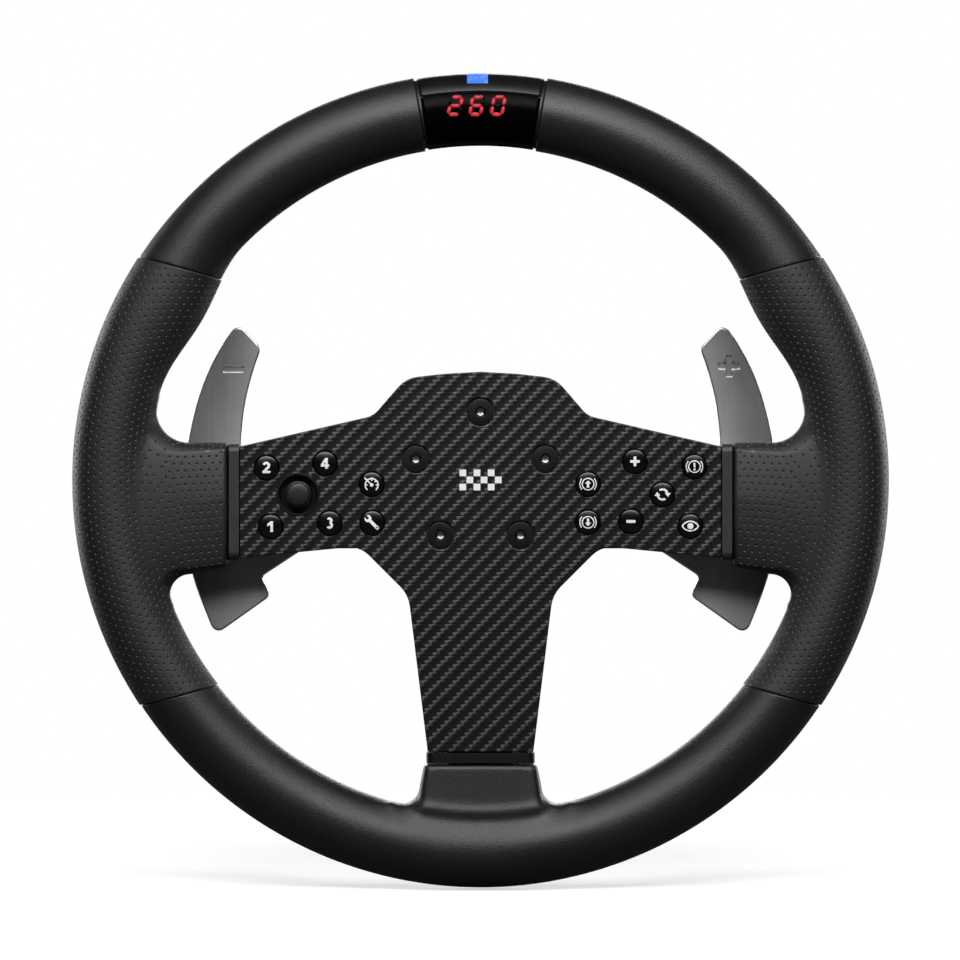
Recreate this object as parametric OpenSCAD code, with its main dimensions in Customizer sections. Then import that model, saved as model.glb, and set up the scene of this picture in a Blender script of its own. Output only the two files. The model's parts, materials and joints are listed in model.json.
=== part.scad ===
// Racing wheel for a home driving rig: a round rim with two moulded grips, a display pod
// at the top, a button plate on three spokes, two shifter paddles and a ball-lock
// quick-release socket behind the hub.
// Every module is drawn with x to the right, y up and z towards the driver, and
// driver_view() turns that so the finished wheel has Z up and the driver at -Y.
// The origin is the middle of the quick-release socket's mouth, on the steering axis.

/* [Rim] */
// Outside diameter of the smooth rim
rim_d = 300; // [290:1:330]
// Diameter of the rim's tube
rim_tube_d = 27.3; // [26:0.1:30]
// Distance from the socket's mouth to the rim's middle plane
rim_plane = 70; // [68:0.5:72]
// Diameter of the steel ring inside the rim
core_tube_d = 14; // [10:0.5:16]
// Gap between the steel ring and the moulded skins
skin_gap = 0.05; // [0.02:0.01:0.2]
// Tilt of the seams between grip and smooth rim
seam_tilt = 15; // [8:1:20]
// Distance of the upper seams' planes from the steering axis
seam_high = 46.6; // [44:0.2:50]
// Distance of the lower seams' planes from the steering axis
seam_low = 47.7; // [44:0.2:52]
// Space left at each seam
seam_gap = 0.3; // [0.1:0.1:0.6]

/* [Grips] */
// How far the grip's skin stands proud of the smooth rim
grip_rise = 0.35; // [0.2:0.05:0.8]
// Height of the thumb swell on the inner side
thumb_swell = 4.3; // [2:0.1:6]
// Rim angle of the thumb swell's middle
thumb_angle = 30; // [26:1:34]
// Rim angle from the swell's middle to its end
thumb_reach = 15; // [12:1:20]

/* [Side stubs] */
// Height of the stub's upper edge above the steering axis
stub_top = 13.8; // [12:0.2:16]
// Height of the stub's lower edge where it meets the collar
stub_low = -31.9; // [-34:0.2:-31]
// Drop of the stub's lower edge from the collar to the rim
stub_drop = 3.6; // [1:0.2:6]
// Fillet between stub and rim, upper side
stub_fillet_top = 12; // [8:0.5:16]
// Fillet between stub and rim, lower side
stub_fillet_low = 5.5; // [4:0.5:8]
// Edge rounding of the stub
stub_round = 9; // [6:0.5:10]
// Height of the stub's face above the button plate
stub_proud = 0.8; // [0.4:0.1:1.5]

/* [Bottom stub] */
// Distance of the stub's end from the steering axis
foot_start = 104.6; // [104.5:0.1:106]
// Half width of the stub at its end
foot_half = 20.8; // [20:0.2:24]
// Half width of the stub at the rim
foot_half_rim = 22.4; // [21:0.2:26]
// Fillet between bottom stub and rim
foot_fillet = 6.5; // [4:0.5:9]

/* [Display pod] */
// Half of the pod's angle along the rim
pod_half_angle = 9; // [8.8:0.1:12]
// Gap in the rim beside the pod, as an angle
pod_groove_angle = 0.45; // [0.2:0.05:0.8]
// Diameter of the pod's tube
pod_tube_d = 26.6; // [26:0.1:30]
// Thickness of the dark window
window_t = 1.5; // [1:0.1:1.8]
// Tube angle where the window starts, counted from the outer edge
window_start_angle = 62; // [55:1:70]
// Tube angle where the window ends
window_end_angle = 166; // [150:1:172]
// Width of the three-digit module
digits_w = 25; // [22:0.5:28]
// Height of the three-digit module
digits_h = 9.4; // [8:0.1:9.6]
// Width of the light in the pod's outer edge
light_w = 8.4; // [6:0.2:12]
// Offset of the light from the pod's middle
light_shift = -0.8; // [-2:0.1:2]

/* [Button plate] */
// Distance from the socket's mouth to the plate's face
plate_front = 78; // [77:0.5:80]
// Thickness of the plate
plate_t = 3; // [2:0.1:4]
// Reach of the plate on the side spokes
plate_reach = 88.4; // [87:0.2:88.6]
// Reach of the plate on the bottom spoke
plate_foot = 99.7; // [98:0.1:99.8]
// Radius of the button holes
button_hole_r = 4.6; // [4.5:0.05:5]
// Radius of the recess over each hub screw
screw_recess_r = 5.25; // [5.2:0.05:6]

/* [Buttons] */
// Radius of the button caps
cap_r = 4.3; // [3.8:0.05:4.35]
// Height of the cap's rim above the plate
cap_rise = 0.7; // [0.4:0.1:1.5]
// Height of the cap's dome
cap_dome = 0.8; // [0.4:0.1:1.5]
// Travel of a button
button_travel = 0.8; // [0.4:0.1:1]

/* [Joystick] */
// Radius of the joystick's opening
stick_opening_r = 6.9; // [6.7:0.1:7.4]
// Radius of the joystick's cap
stick_cap_r = 4.75; // [4:0.05:4.8]
// Distance from the board to the joystick's pivot
stick_pivot_rise = 2.8; // [2.6:0.1:3.2]

/* [Hub] */
// Bolt circle of the hub screws
hub_pcd = 50; // [46:0.5:54]
// Number of hub screws
hub_screw_count = 5; // [3:1:6]
// Diameter of the hub screws
hub_screw_d = 5; // [4:0.5:6]
// Metal outside the hub screws' circle
boss_edge = 6; // [5.5:0.1:6.5]
// Distance from the socket's mouth to the rear cover's back
cover_back = 54; // [53:0.2:54.4]
// Wall of the rear cover
cover_wall = 2.4; // [1.8:0.1:2.5]
// Thickness of the spoke arms
arm_t = 7.6; // [6:0.1:7.8]
// Width of the side arms
arm_w = 22; // [16:0.5:24]
// Height of the side arms' middle
arm_mid = -8; // [-9:0.5:-7]
// Width of the bottom arm
foot_arm_w = 24; // [18:0.5:25]
// Thickness of the main board
board_t = 1.6; // [1:0.1:2]
// Space between the plate's back and the main board
board_drop = 7.8; // [7.6:0.1:8]

/* [Collars] */
// Thickness of a spoke collar
collar_t = 3.7; // [2.5:0.1:3.9]
// Gap between collar and stub
collar_gap = 0.5; // [0.3:0.1:0.8]
// Height of a collar above the button plate
collar_proud = 0.4; // [0.2:0.1:1]

/* [Quick release] */
// Radius of the socket
socket_r = 16; // [14:0.1:17]
// Depth of the socket
socket_depth = 38; // [36:0.5:40]
// Thickness of the flange on the hub
flange_t = 8; // [6:0.1:9]
// How far the flange reaches past the hub boss
flange_lip = 3; // [1:0.1:3.5]
// Thickness of the sliding ring's grip
ring_grip_t = 7; // [6.5:0.1:9]
// Length of the sliding ring's grip
ring_len = 22; // [18:0.5:24]
// Travel of the sliding ring
ring_travel = 6; // [4:0.5:7]
// Number of locking balls
ball_count = 4; // [3:1:4]
// Radius of a locking ball
ball_r = 2.6; // [2:0.1:2.8]
// Wall left outside a locking ball
ball_cover = 0.65; // [0.6:0.05:1.2]

/* [Shifters] */
// Distance of the paddle pivots from the steering axis
pivot_x = 53; // [52:0.2:54]
// Distance from the socket's mouth to the paddle pivots
pivot_z = 46.4; // [46:0.1:46.8]
// Radius of the pivot pins
pivot_pin_r = 1.55; // [1.2:0.05:2]
// Thickness of the paddle blades
blade_t = 2; // [1.2:0.1:2.2]
// Distance from pivot plane to the blade
blade_rise = 2.2; // [2:0.1:2.4]
// Length of the arm's bearing along the pin
bearing_len = 26; // [24:0.5:32]
// Pull of a paddle, as an angle
paddle_pull = 4; // [2:0.5:4]

/* [Hidden] */

$fn = 48;
eps = 0.01;
cut = 1;

// Rim, derived
tube_r = rim_tube_d / 2;
path_r = rim_d / 2 - tube_r;
grip_r = tube_r + grip_rise;
core_r = core_tube_d / 2;
pod_r = pod_tube_d / 2;
rim_inner_r = path_r - grip_r;
section_points = 24;
bend_step = 4;
bore_r = (core_r + skin_gap) / cos(180 / section_points);

// Hub and socket, across
boss_r = hub_pcd / 2 + boss_edge;
flange_r = boss_r + flange_lip;
ball_back = 0.15;
socket_body_r = socket_r + ball_back + 2 * ball_r + ball_cover;
ring_r = socket_body_r + ring_grip_t;

// Stack of the hub, from the plate back to the cover
plate_back = plate_front - plate_t;
board_top = plate_back - board_drop;
board_low = board_top - board_t;
arm_space = 1;
arm_front = board_low - arm_space;
arm_back = arm_front - arm_t;
cover_floor = cover_back + cover_wall;
flange_back = cover_floor - flange_t;
part_gap = 0.4;

// Spoke ends
plate_gap = 0.2;
foot_gap = 0.7;
face_rise = 2.2;
rear_rise = 4;
ring_share = 0.62;
collar_in = plate_reach + plate_gap;
collar_out = collar_in + collar_t;
stub_start = collar_out + collar_gap;
collar_back = cover_back - part_gap;
stub_back = cover_back + part_gap;
foot_collar_in = foot_start - foot_gap - collar_t;

// Where the buttons sit: the share of the way from the hub boss to the plate's end, and the height
function spoke_x(share) = boss_r + share * (plate_reach - boss_r);
function left_spot(share, y) = [-spoke_x(share), y];
function right_spot(share, y) = [spoke_x(share), y];
spot_1 = left_spot(0.8014, -17.1);
spot_2 = left_spot(0.8275, 4.5);
spot_3 = left_spot(0.4233, -15.8);
spot_4 = left_spot(0.453, 6.1);
spot_limiter = left_spot(0.1551, -1.5);
spot_wrench = left_spot(0.1516, -15.7);
spot_up = right_spot(0.1463, -1.5);
spot_down = right_spot(0.1463, -15.5);
spot_plus = right_spot(0.446, 6.8);
spot_minus = right_spot(0.4199, -15.2);
spot_alert = right_spot(0.8258, 4.9);
spot_cycle = right_spot(0.622, -5.3);
spot_eye = right_spot(0.7997, -16.9);
BUTTON_SPOTS = [
    spot_1, spot_2, spot_3, spot_4, spot_limiter, spot_wrench, spot_up,
    spot_down, spot_plus, spot_minus, spot_alert, spot_cycle, spot_eye
];
stick_spot = left_spot(0.6254, -5.3);

// Where the rear cover's screws go, right half
PILLAR_SPOTS = [
    [plate_reach - 5.4, -22.6],
    [plate_reach - 21.9, 11.8],
    [27, 29],
    [28, -32.5],
    [15, 7.7 - plate_foot]
];
pillar_r = 2.7;
pillar_len = 15;
cover_screw_r = 1.4;
cover_head_r = 2.6;
cover_head_t = 1.6;

// Buttons and switches
button_flange_r = 4.9;
button_flange_t = 1.2;
stem_r = 1.7;
switch_w = 6;
switch_h = 3.4;
plunger_h = 0.9;
switch_top = board_top + switch_h + plunger_h;
stem_low = switch_top + button_travel + 0.1;
cap_dome_r = (pow(cap_r, 2) + pow(cap_dome, 2)) / (2 * cap_dome);

// Joystick
stick_pivot = board_top + stick_pivot_rise;
stick_ball_r = 2.1;
stick_cup_r = 3;
stick_shaft_r = 1.6;
stick_wall = 0.65;
stick_well_r = 5.2;
stick_floor = 0.6;
stick_box_w = 13;
stick_axle_r = 1;
stick_pin_r = 0.8;
stick_cap_low = plate_back + 1.6;
stick_cap_top = plate_front + 2.4;
run_gap = 0.05;

// Quick release
mouth_chamfer = 0.8;
clip_z = 1.6;
clip_t = 1.8;
clip_proud = 2.4;
clip_r = socket_body_r + clip_proud;
ring_z = clip_z + clip_t;
ring_skirt = flange_back - ring_z - ring_len - ring_travel - part_gap;
ring_wall = 2.6;
ring_edge = 1;
flute_depth = 0.8;
ball_z = 11;
neck = 3;
clip_deep = 1;
flutes = 18;
flute_r = 2.4;
spring_wire_r = 1;
spring_turns = 4.5;
spring_r = socket_body_r + 2 * spring_wire_r;

// Shifters
ear_t = 4;
base_h = bearing_len + 2 * ear_t + 2 * part_gap;
ear_half = 4.5;
base_in = pivot_x - 11;
base_out = pivot_x + 8.4;
base_plate_t = 3.4;
base_floor = cover_back - base_plate_t;
blade_back = pivot_z + blade_rise;
arm_hub_r = 3.6;
arm_reach = 84;
arm_thick = 4.8;
arm_corner = 6;
paddle_screw_r = 1.5;
paddle_head_r = 2.8;
paddle_screw_in = 8;
paddle_screw_apart = 14;
PADDLE_SCREW_SPOTS = [
    [arm_reach - paddle_screw_in, arm_mid + paddle_screw_apart / 2],
    [arm_reach - paddle_screw_in, arm_mid - paddle_screw_apart / 2]
];

// ---------- helpers ----------

module driver_view() {
    rotate([90, 0, 0])
        children();
}

module right_and_left() {
    children();
    mirror([1, 0, 0])
        children();
}

function unit(v) = v / norm(v);
function turn_between(a, b) = (b - a + 540) % 360 - 180;

// Arc that rounds the corner b between a and c, with its radius held inside both sides
function round_corner(a, b, c, r) =
    let (
        u = unit(a - b),
        w = unit(c - b),
        half = acos(u * w) / 2,
        room = min(norm(a - b), norm(c - b)) * 0.49,
        t = min(r / tan(half), room),
        fit_r = t * tan(half),
        middle = b + unit(u + w) * fit_r / sin(half),
        from = b + u * t - middle,
        to = b + w * t - middle,
        start = atan2(from.y, from.x),
        turn = turn_between(start, atan2(to.y, to.x)),
        steps = max(2, ceil(abs(turn) / 12))
    )
    [for (k = [0:steps]) middle + fit_r * [cos(start + turn * k / steps), sin(start + turn * k / steps)]];

// Outline through corners given as [x, y, radius]
function rounded(corners) =
    let (n = len(corners))
    [for (i = [0:n - 1])
        let (
            a = corners[(i + n - 1) % n],
            b = corners[i],
            c = corners[(i + 1) % n]
        )
        each round_corner([a.x, a.y], [b.x, b.y], [c.x, c.y], b.z)];

// The right half's corners, followed by their mirror images in reverse
function both_halves(half) = concat(
    half,
    [for (i = [len(half) - 1:-1:0]) [-half[i].x, half[i].y, half[i].z]]
);

function box_corners(x0, y0, x1, y1, r) = [[x0, y0, r], [x1, y0, r], [x1, y1, r], [x0, y1, r]];

// Closed skin through equal rings of points
module skin(rings) {
    n = len(rings[0]);
    last = len(rings) - 1;
    points = [for (ring = rings) each ring];
    sides = [for (i = [0:last - 1]) for (j = [0:n - 1])
        let (k = (j + 1) % n)
        each [
            [i * n + j, (i + 1) * n + j, (i + 1) * n + k],
            [i * n + j, (i + 1) * n + k, i * n + k]
        ]];
    first_cap = [for (j = [0:n - 1]) j];
    last_cap = [for (j = [n - 1:-1:0]) last * n + j];
    polyhedron(points, concat(sides, [first_cap, last_cap]), convexity = 6);
}

// Hollow skin between outer and inner rings of equal count, open along its length
module hollow_skin(outer, inner) {
    n = len(outer[0]);
    last = len(outer) - 1;
    shift = n * len(outer);
    points = concat([for (ring = outer) each ring], [for (ring = inner) each ring]);
    faces = [for (i = [0:last - 1]) for (j = [0:n - 1])
        let (k = (j + 1) % n, a = i * n, b = (i + 1) * n)
        each [
            [a + j, b + j, b + k],
            [a + j, b + k, a + k],
            [shift + a + j, shift + b + k, shift + b + j],
            [shift + a + j, shift + a + k, shift + b + k]
        ]];
    ends = [for (j = [0:n - 1])
        let (k = (j + 1) % n, e = last * n)
        each [
            [j, k, shift + k],
            [j, shift + k, shift + j],
            [e + j, shift + e + k, e + k],
            [e + j, shift + e + j, shift + e + k]
        ]];
    polyhedron(points, concat(faces, ends), convexity = 6);
}

// ---------- rim ----------

// Rim angle at which a seam plane cuts the radius r
function high_seam(r, gap) = seam_tilt + asin((seam_high + gap) / r);
function low_seam(r, gap) = -seam_tilt - asin((seam_low + gap) / r);

// Swell of the grip at a rim angle, and how much of it shows at a tube angle
function swell(a) = abs(a - thumb_angle) > thumb_reach
    ? 0
    : thumb_swell * (1 + cos(180 * (a - thumb_angle) / thumb_reach)) / 2;
function swell_share(t) = pow((1 - cos(t - 18)) / 2, 2);

// One ring of rim points at rim angle a, pushed along so that the ring follows the seams:
// u is 0 on the first seam and 1 on the last
function rim_ring(u, from, to, r, thumb) =
    [for (j = [0:section_points - 1])
        let (
            t = -360 * j / section_points,
            nominal = from[0] + (to[0] - from[0]) * u,
            reach = r + thumb * swell(nominal) * swell_share(t),
            rho = path_r + reach * cos(t),
            a = seam_angle(from, rho) * (1 - u) + seam_angle(to, rho) * u
        )
        [rho * cos(a), rho * sin(a), rim_plane + reach * sin(t)]];

// An end of a rim piece is [its angle at the path, kind, gap]
function seam_angle(end, rho) =
    end[1] == "high" ? high_seam(rho, end[2]) :
    end[1] == "low" ? low_seam(rho, end[2]) :
    end[1] == "low_left" ? -180 - low_seam(rho, end[2]) :
    end[0];

function rim_rings(from, to, r, thumb) =
    let (steps = ceil(abs(to[0] - from[0]) / bend_step))
    [for (i = [0:steps]) rim_ring(i / steps, from, to, r, thumb)];

function high_end(gap) = [high_seam(path_r, gap), "high", gap];
function low_end(gap) = [low_seam(path_r, gap), "low", gap];
function low_left_end(gap) = [-180 - low_seam(path_r, gap), "low_left", gap];
function pod_end(gap) = [90 - pod_half_angle - gap, "radial", 0];

module rim_upper() {
    hollow_skin(
        rim_rings(high_end(seam_gap / 2), pod_end(pod_groove_angle), tube_r, 1),
        rim_rings(high_end(seam_gap / 2), pod_end(pod_groove_angle), bore_r, 0)
    );
}

module core_room(from, to) {
    skin(rim_rings(from, to, bore_r, 0));
}

// Space around a spoke arm, from the hub out to the steel ring
module arm_room() {
    arm(skin_gap);
}

// Upper and lower edges of a side stub at distance x from the steering axis
function fillet_x(edge, r) = sqrt(pow(rim_inner_r - r, 2) - pow(abs(edge) + r, 2));
function fillet_end(edge, r) = fillet_x(edge, r) * rim_inner_r / (rim_inner_r - r);
stub_low_rim = stub_low - stub_drop;
top_turn = fillet_x(stub_top, stub_fillet_top);
top_end = fillet_end(stub_top, stub_fillet_top);
low_turn = fillet_x(stub_low_rim, stub_fillet_low);
low_end_x = fillet_end(stub_low_rim, stub_fillet_low);

function flare(x, turn, end, r) =
    x <= turn ? 0 : r - sqrt(max(0, pow(r, 2) - pow(min(x, end) - turn, 2)));
function stub_upper(x) = stub_top + flare(x, top_turn, top_end, stub_fillet_top);
function stub_lower(x) = stub_low
    - stub_drop * min(1, (x - stub_start) / (low_turn - stub_start))
    - flare(x, low_turn, low_end_x, stub_fillet_low);

// Share of the way from the collar to the rim's path
function stub_way(x) = (x - stub_start) / (path_r - stub_start);
function stub_face(x) = plate_front + stub_proud + face_rise * stub_way(x);
function stub_rear(x) = stub_back + rear_rise * stub_way(x);

function stub_ring(x, inset) =
    [for (p = rounded(box_corners(
        stub_lower(x) + inset, stub_rear(x) + inset,
        stub_upper(x) - inset, stub_face(x) - inset,
        stub_round
    )))
        [x, p.x, p.y]];

// Rings stand closer together where the edges flare into the rim
end_round = 1.6;
stub_short = 4;
stub_stops = 12;
function stub_stop(i) = stub_start + end_round
    + (path_r - stub_short - stub_start - end_round) * sin(90 * i / stub_stops);

module side_stub() {
    skin(concat(
        [stub_ring(stub_start, end_round)],
        [for (i = [0:stub_stops]) stub_ring(stub_stop(i), 0)]
    ));
}

module grip() {
    difference() {
        union() {
            skin(rim_rings(low_end(-seam_gap / 2), high_end(-seam_gap / 2), grip_r, 1));
            side_stub();
        }
        core_room(low_end(cut), high_end(cut));
        arm_room();
    }
}

// Half width of the bottom stub at distance d below the steering axis
foot_turn = sqrt(pow(rim_inner_r + grip_rise - foot_fillet, 2) - pow(foot_half_rim + foot_fillet, 2));
foot_end = foot_turn * (rim_inner_r + grip_rise) / (rim_inner_r + grip_rise - foot_fillet);
function foot_width(d) = foot_half
    + (foot_half_rim - foot_half) * min(1, (d - foot_start) / (foot_turn - foot_start))
    + flare(d, foot_turn, foot_end, foot_fillet);
function foot_way(d) = (d - foot_start) / (path_r - foot_start);
function foot_face(d) = plate_front + stub_proud + face_rise * foot_way(d);
function foot_rear(d) = stub_back + rear_rise * foot_way(d);

function foot_ring(d, inset) =
    [for (p = rounded(box_corners(
        -foot_width(d) + inset, foot_rear(d) + inset,
        foot_width(d) - inset, foot_face(d) - inset,
        stub_round
    )))
        [p.x, -d, p.y]];

foot_stops = 10;
function foot_stop(i) = foot_start + end_round
    + (path_r - stub_short - foot_start - end_round) * sin(90 * i / foot_stops);

module foot_stub() {
    skin(concat(
        [foot_ring(foot_start, end_round)],
        [for (i = [0:foot_stops]) foot_ring(foot_stop(i), 0)]
    ));
}

module lower_skin() {
    difference() {
        union() {
            skin(rim_rings(low_left_end(seam_gap / 2), low_end(seam_gap / 2), tube_r, 0));
            foot_stub();
        }
        core_room(low_left_end(-cut), low_end(-cut));
        foot_arm(skin_gap);
    }
}

// A side arm: straight through the hub, then a step up to the ring
module arm(gap) {
    ring_half = core_r * ring_share + gap;
    translate([0, arm_mid + arm_w / 2 + gap, 0])
        rotate([90, 0, 0])
            linear_extrude(arm_w + 2 * gap)
                polygon([
                    [0, arm_back - gap],
                    [stub_start, arm_back - gap],
                    [path_r - core_r, rim_plane - ring_half],
                    [path_r, rim_plane - ring_half],
                    [path_r, rim_plane + ring_half],
                    [path_r - core_r, rim_plane + ring_half],
                    [stub_start, arm_front + gap],
                    [0, arm_front + gap]
                ]);
}

module foot_arm(gap) {
    ring_half = core_r * ring_share + gap;
    translate([-foot_arm_w / 2 - gap, 0, 0])
        rotate([90, 0, 90])
            linear_extrude(foot_arm_w + 2 * gap)
                polygon([
                    [0, arm_back - gap],
                    [-foot_start, arm_back - gap],
                    [-path_r + core_r, rim_plane - ring_half],
                    [-path_r, rim_plane - ring_half],
                    [-path_r, rim_plane + ring_half],
                    [-path_r + core_r, rim_plane + ring_half],
                    [-foot_start, arm_front + gap],
                    [0, arm_front + gap]
                ]);
}

module hub_circle() {
    for (i = [0:hub_screw_count - 1])
        rotate(90 + 360 * i / hub_screw_count)
            translate([hub_pcd / 2, 0, 0])
                children();
}

screw_r = hub_screw_d / 2;
head_r = hub_screw_d - 0.05;
head_edge = 0.4;
head_top = plate_front - 0.9;
cone_low = head_top - head_edge - (head_r - screw_r);
screw_end = flange_back + 1.4;

module rim_core() {
    color("dimgray")
        driver_view()
            difference() {
                union() {
                    translate([0, 0, rim_plane])
                        rotate_extrude($fn = 96)
                            translate([path_r, 0])
                                circle(core_r);
                    right_and_left()
                        arm(0);
                    foot_arm(0);
                    translate([0, 0, cover_floor])
                        cylinder(h = plate_back - cover_floor, r = boss_r);
                }
                hub_circle() {
                    translate([0, 0, cover_floor - cut])
                        cylinder(h = plate_back - cover_floor + 2 * cut, r = screw_r + run_gap);
                    translate([0, 0, cone_low])
                        cylinder(
                            h = plate_back - cone_low + cut,
                            r1 = screw_r + run_gap,
                            r2 = screw_r + run_gap + plate_back - cone_low + cut
                        );
                }
                translate([0, 0, cover_floor - cut])
                    cylinder(h = plate_back - cover_floor + 2 * cut, r = hub_pcd / 2 - 2 * hub_screw_d);
            }
}

module rim_upper_right() {
    color("#2b2b2d")
        driver_view()
            rim_upper();
}

module rim_upper_left() {
    color("#2b2b2d")
        driver_view()
            mirror([1, 0, 0])
                rim_upper();
}

module rim_lower() {
    color("#2b2b2d")
        driver_view()
            lower_skin();
}

module grip_right() {
    color("#3a3a3c")
        driver_view()
            grip();
}

module grip_left() {
    color("#3a3a3c")
        driver_view()
            mirror([1, 0, 0])
                grip();
}

// ---------- display pod ----------

side_frame_angle = 0.5;
window_play_angle = 0.3;
pod_span_angle = 2 * pod_half_angle;
window_span_angle = 2 * (pod_half_angle - side_frame_angle);

// Flat wedge of the tube's section between two tube angles
module tube_wedge(from, to) {
    far = 3 * pod_r;
    middle = (from + to) / 2;
    polygon([
        [0, 0],
        far * [cos(from), sin(from)],
        far * [cos(middle), sin(middle)],
        far * [cos(to), sin(to)]
    ]);
}

module window_section(outer, inner, from, to) {
    intersection() {
        difference() {
            circle(outer);
            circle(inner);
        }
        tube_wedge(from, to);
    }
}

module along_rim(angle) {
    translate([0, 0, rim_plane])
        rotate(90 - angle / 2)
            rotate_extrude(angle = angle, $fn = 360)
                translate([path_r, 0])
                    children();
}

digits_mid = 0.4;
digits_board_t = 0.9;
digits_low = rim_plane + core_r + digits_board_t + 0.2;
digits_top = digits_low + 1.9;

module digits_block(z0, z1, gap) {
    translate([-digits_w / 2 - gap, path_r + digits_mid - digits_h / 2 - gap, z0])
        cube([digits_w + 2 * gap, digits_h + 2 * gap, z1 - z0]);
}

light_low = 9.1;
module light_block(gap, top) {
    translate([light_shift - light_w / 2 - gap, path_r + light_low - gap, rim_plane])
        cube([light_w + 2 * gap, top - light_low, pod_r]);
}

// The housing's ends are stepped: a lower neck fills most of the groove beside the rim
neck_drop = 1.1;
neck_share = 0.82;
module pod_step() {
    right_and_left()
        translate([0, 0, rim_plane])
            rotate(90 + pod_half_angle)
                rotate_extrude(angle = pod_groove_angle, $fn = 360)
                    translate([path_r, 0])
                        difference() {
                            circle(pod_r + cut);
                            circle(pod_r - neck_drop);
                        }
}

module display_housing() {
    color("#4a4a4c")
        driver_view()
            difference() {
                along_rim(pod_span_angle + 2 * neck_share * pod_groove_angle)
                    difference() {
                        circle(pod_r);
                        circle(core_r + skin_gap);
                    }
                pod_step();
                along_rim(window_span_angle + window_play_angle)
                    window_section(
                        pod_r + cut,
                        pod_r - window_t - run_gap,
                        window_start_angle - window_play_angle,
                        window_end_angle + window_play_angle
                    );
                digits_block(rim_plane + core_r - cut, rim_plane + pod_r, part_gap / 4);
                light_block(run_gap, pod_r + 2 * cut);
            }
}

module display_window() {
    color("black")
        driver_view()
            along_rim(window_span_angle)
                window_section(pod_r, pod_r - window_t, window_start_angle, window_end_angle);
}

module display_digits() {
    color("#1a0505")
        driver_view()
            digits_block(digits_low, digits_top, 0);
}

module display_board() {
    color("darkgreen")
        driver_view()
            digits_block(digits_low - digits_board_t, digits_low, 0);
}

module display_light() {
    color("dodgerblue")
        driver_view()
            intersection() {
                light_block(0, pod_r + cut);
                along_rim(pod_span_angle)
                    difference() {
                        circle(pod_r + 0.2);
                        circle(core_r + 2);
                    }
            }
}

// ---------- button plate ----------

// Corners of the plate's right half: crown, shoulder, side spoke, waist, bottom spoke
crown_r = 140;
HALF_PLATE = [
    [27.4, 37.4, 11],
    [39.3, 23.6, 8],
    [plate_reach, 12.3, 0.8],
    [plate_reach, -28.6, 0.8],
    [44.3, -24.3, 10],
    [26.5, -42.1, 12],
    [19.4, -plate_foot, 1]
];
PLATE_CORNERS = concat([[0, 40.5, crown_r]], both_halves(HALF_PLATE));

// Corners moved inwards along both neighbouring sides
function inward(a, b) = let (d = unit([b.x, b.y] - [a.x, a.y])) [d.y, -d.x];
function inset_corner(a, b, c, d) =
    let (
        p = inward(a, b),
        q = inward(b, c),
        move = (p + q) / (1 + p * q) * d,
        side = cross(unit([b.x - a.x, b.y - a.y]), unit([c.x - b.x, c.y - b.y]))
    )
    [b.x + move.x, b.y + move.y, max(0.3, b.z + (side < 0 ? -d : d))];
function inset(corners, d) =
    let (n = len(corners))
    [for (i = [0:n - 1]) inset_corner(corners[(i + n - 1) % n], corners[i], corners[(i + 1) % n], d)];

module plate_shape(d) {
    polygon(rounded(inset(PLATE_CORNERS, d)));
}

module pillar_spots() {
    right_and_left()
        for (spot = PILLAR_SPOTS)
            translate(spot)
                children();
}

module face_plate() {
    color("#1c1c1e")
        driver_view()
            difference() {
                union() {
                    translate([0, 0, plate_back])
                        linear_extrude(plate_t)
                            plate_shape(0);
                    pillar_spots()
                        translate([0, 0, plate_back - pillar_len])
                            cylinder(h = pillar_len + cut, r = pillar_r);
                }
                for (spot = BUTTON_SPOTS)
                    translate([spot.x, spot.y, plate_back - cut])
                        cylinder(h = plate_t + 2 * cut, r = button_hole_r);
                translate([stick_spot.x, stick_spot.y, plate_back - cut])
                    cylinder(h = plate_t + 2 * cut, r = stick_opening_r + stick_wall + run_gap);
                hub_circle()
                    translate([0, 0, plate_back - cut])
                        cylinder(h = plate_t + 2 * cut, r = screw_recess_r);
                pillar_spots()
                    translate([0, 0, plate_back - pillar_len - cut])
                        cylinder(h = pillar_len, r = cover_screw_r + run_gap);
            }
}

module rear_cover() {
    rib_t = 1.6;
    rib_h = 2;
    rib_r = boss_r + 5.5;
    color("#242426")
        driver_view()
            difference() {
                union() {
                    difference() {
                        translate([0, 0, cover_back])
                            linear_extrude(plate_back - cover_back)
                                plate_shape(0);
                        translate([0, 0, cover_floor])
                            linear_extrude(plate_back)
                                plate_shape(cover_wall);
                    }
                    pillar_spots()
                        translate([0, 0, cover_floor - eps])
                            cylinder(h = plate_back - pillar_len - cover_floor + eps, r = pillar_r + 0.8);
                    translate([0, 0, cover_floor - eps])
                        difference() {
                            cylinder(h = rib_h, r = rib_r);
                            translate([0, 0, -cut])
                                cylinder(h = rib_h + 2 * cut, r = rib_r - rib_t);
                        }
                }
                translate([0, 0, cover_back - cut])
                    cylinder(h = cover_wall + 2 * cut, r = flange_r + part_gap);
                right_and_left()
                    arm_room();
                foot_arm(skin_gap);
                pillar_spots() {
                    translate([0, 0, cover_back - cut])
                        cylinder(h = plate_back, r = cover_screw_r + run_gap);
                    translate([0, 0, cover_back - cut])
                        cylinder(h = cover_head_t + cut, r = cover_head_r + run_gap);
                }
                base_screw_spots()
                    translate([0, 0, cover_back - cut])
                        cylinder(h = cover_wall + 2 * cut, r = base_screw_r + run_gap);
            }
}

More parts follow.
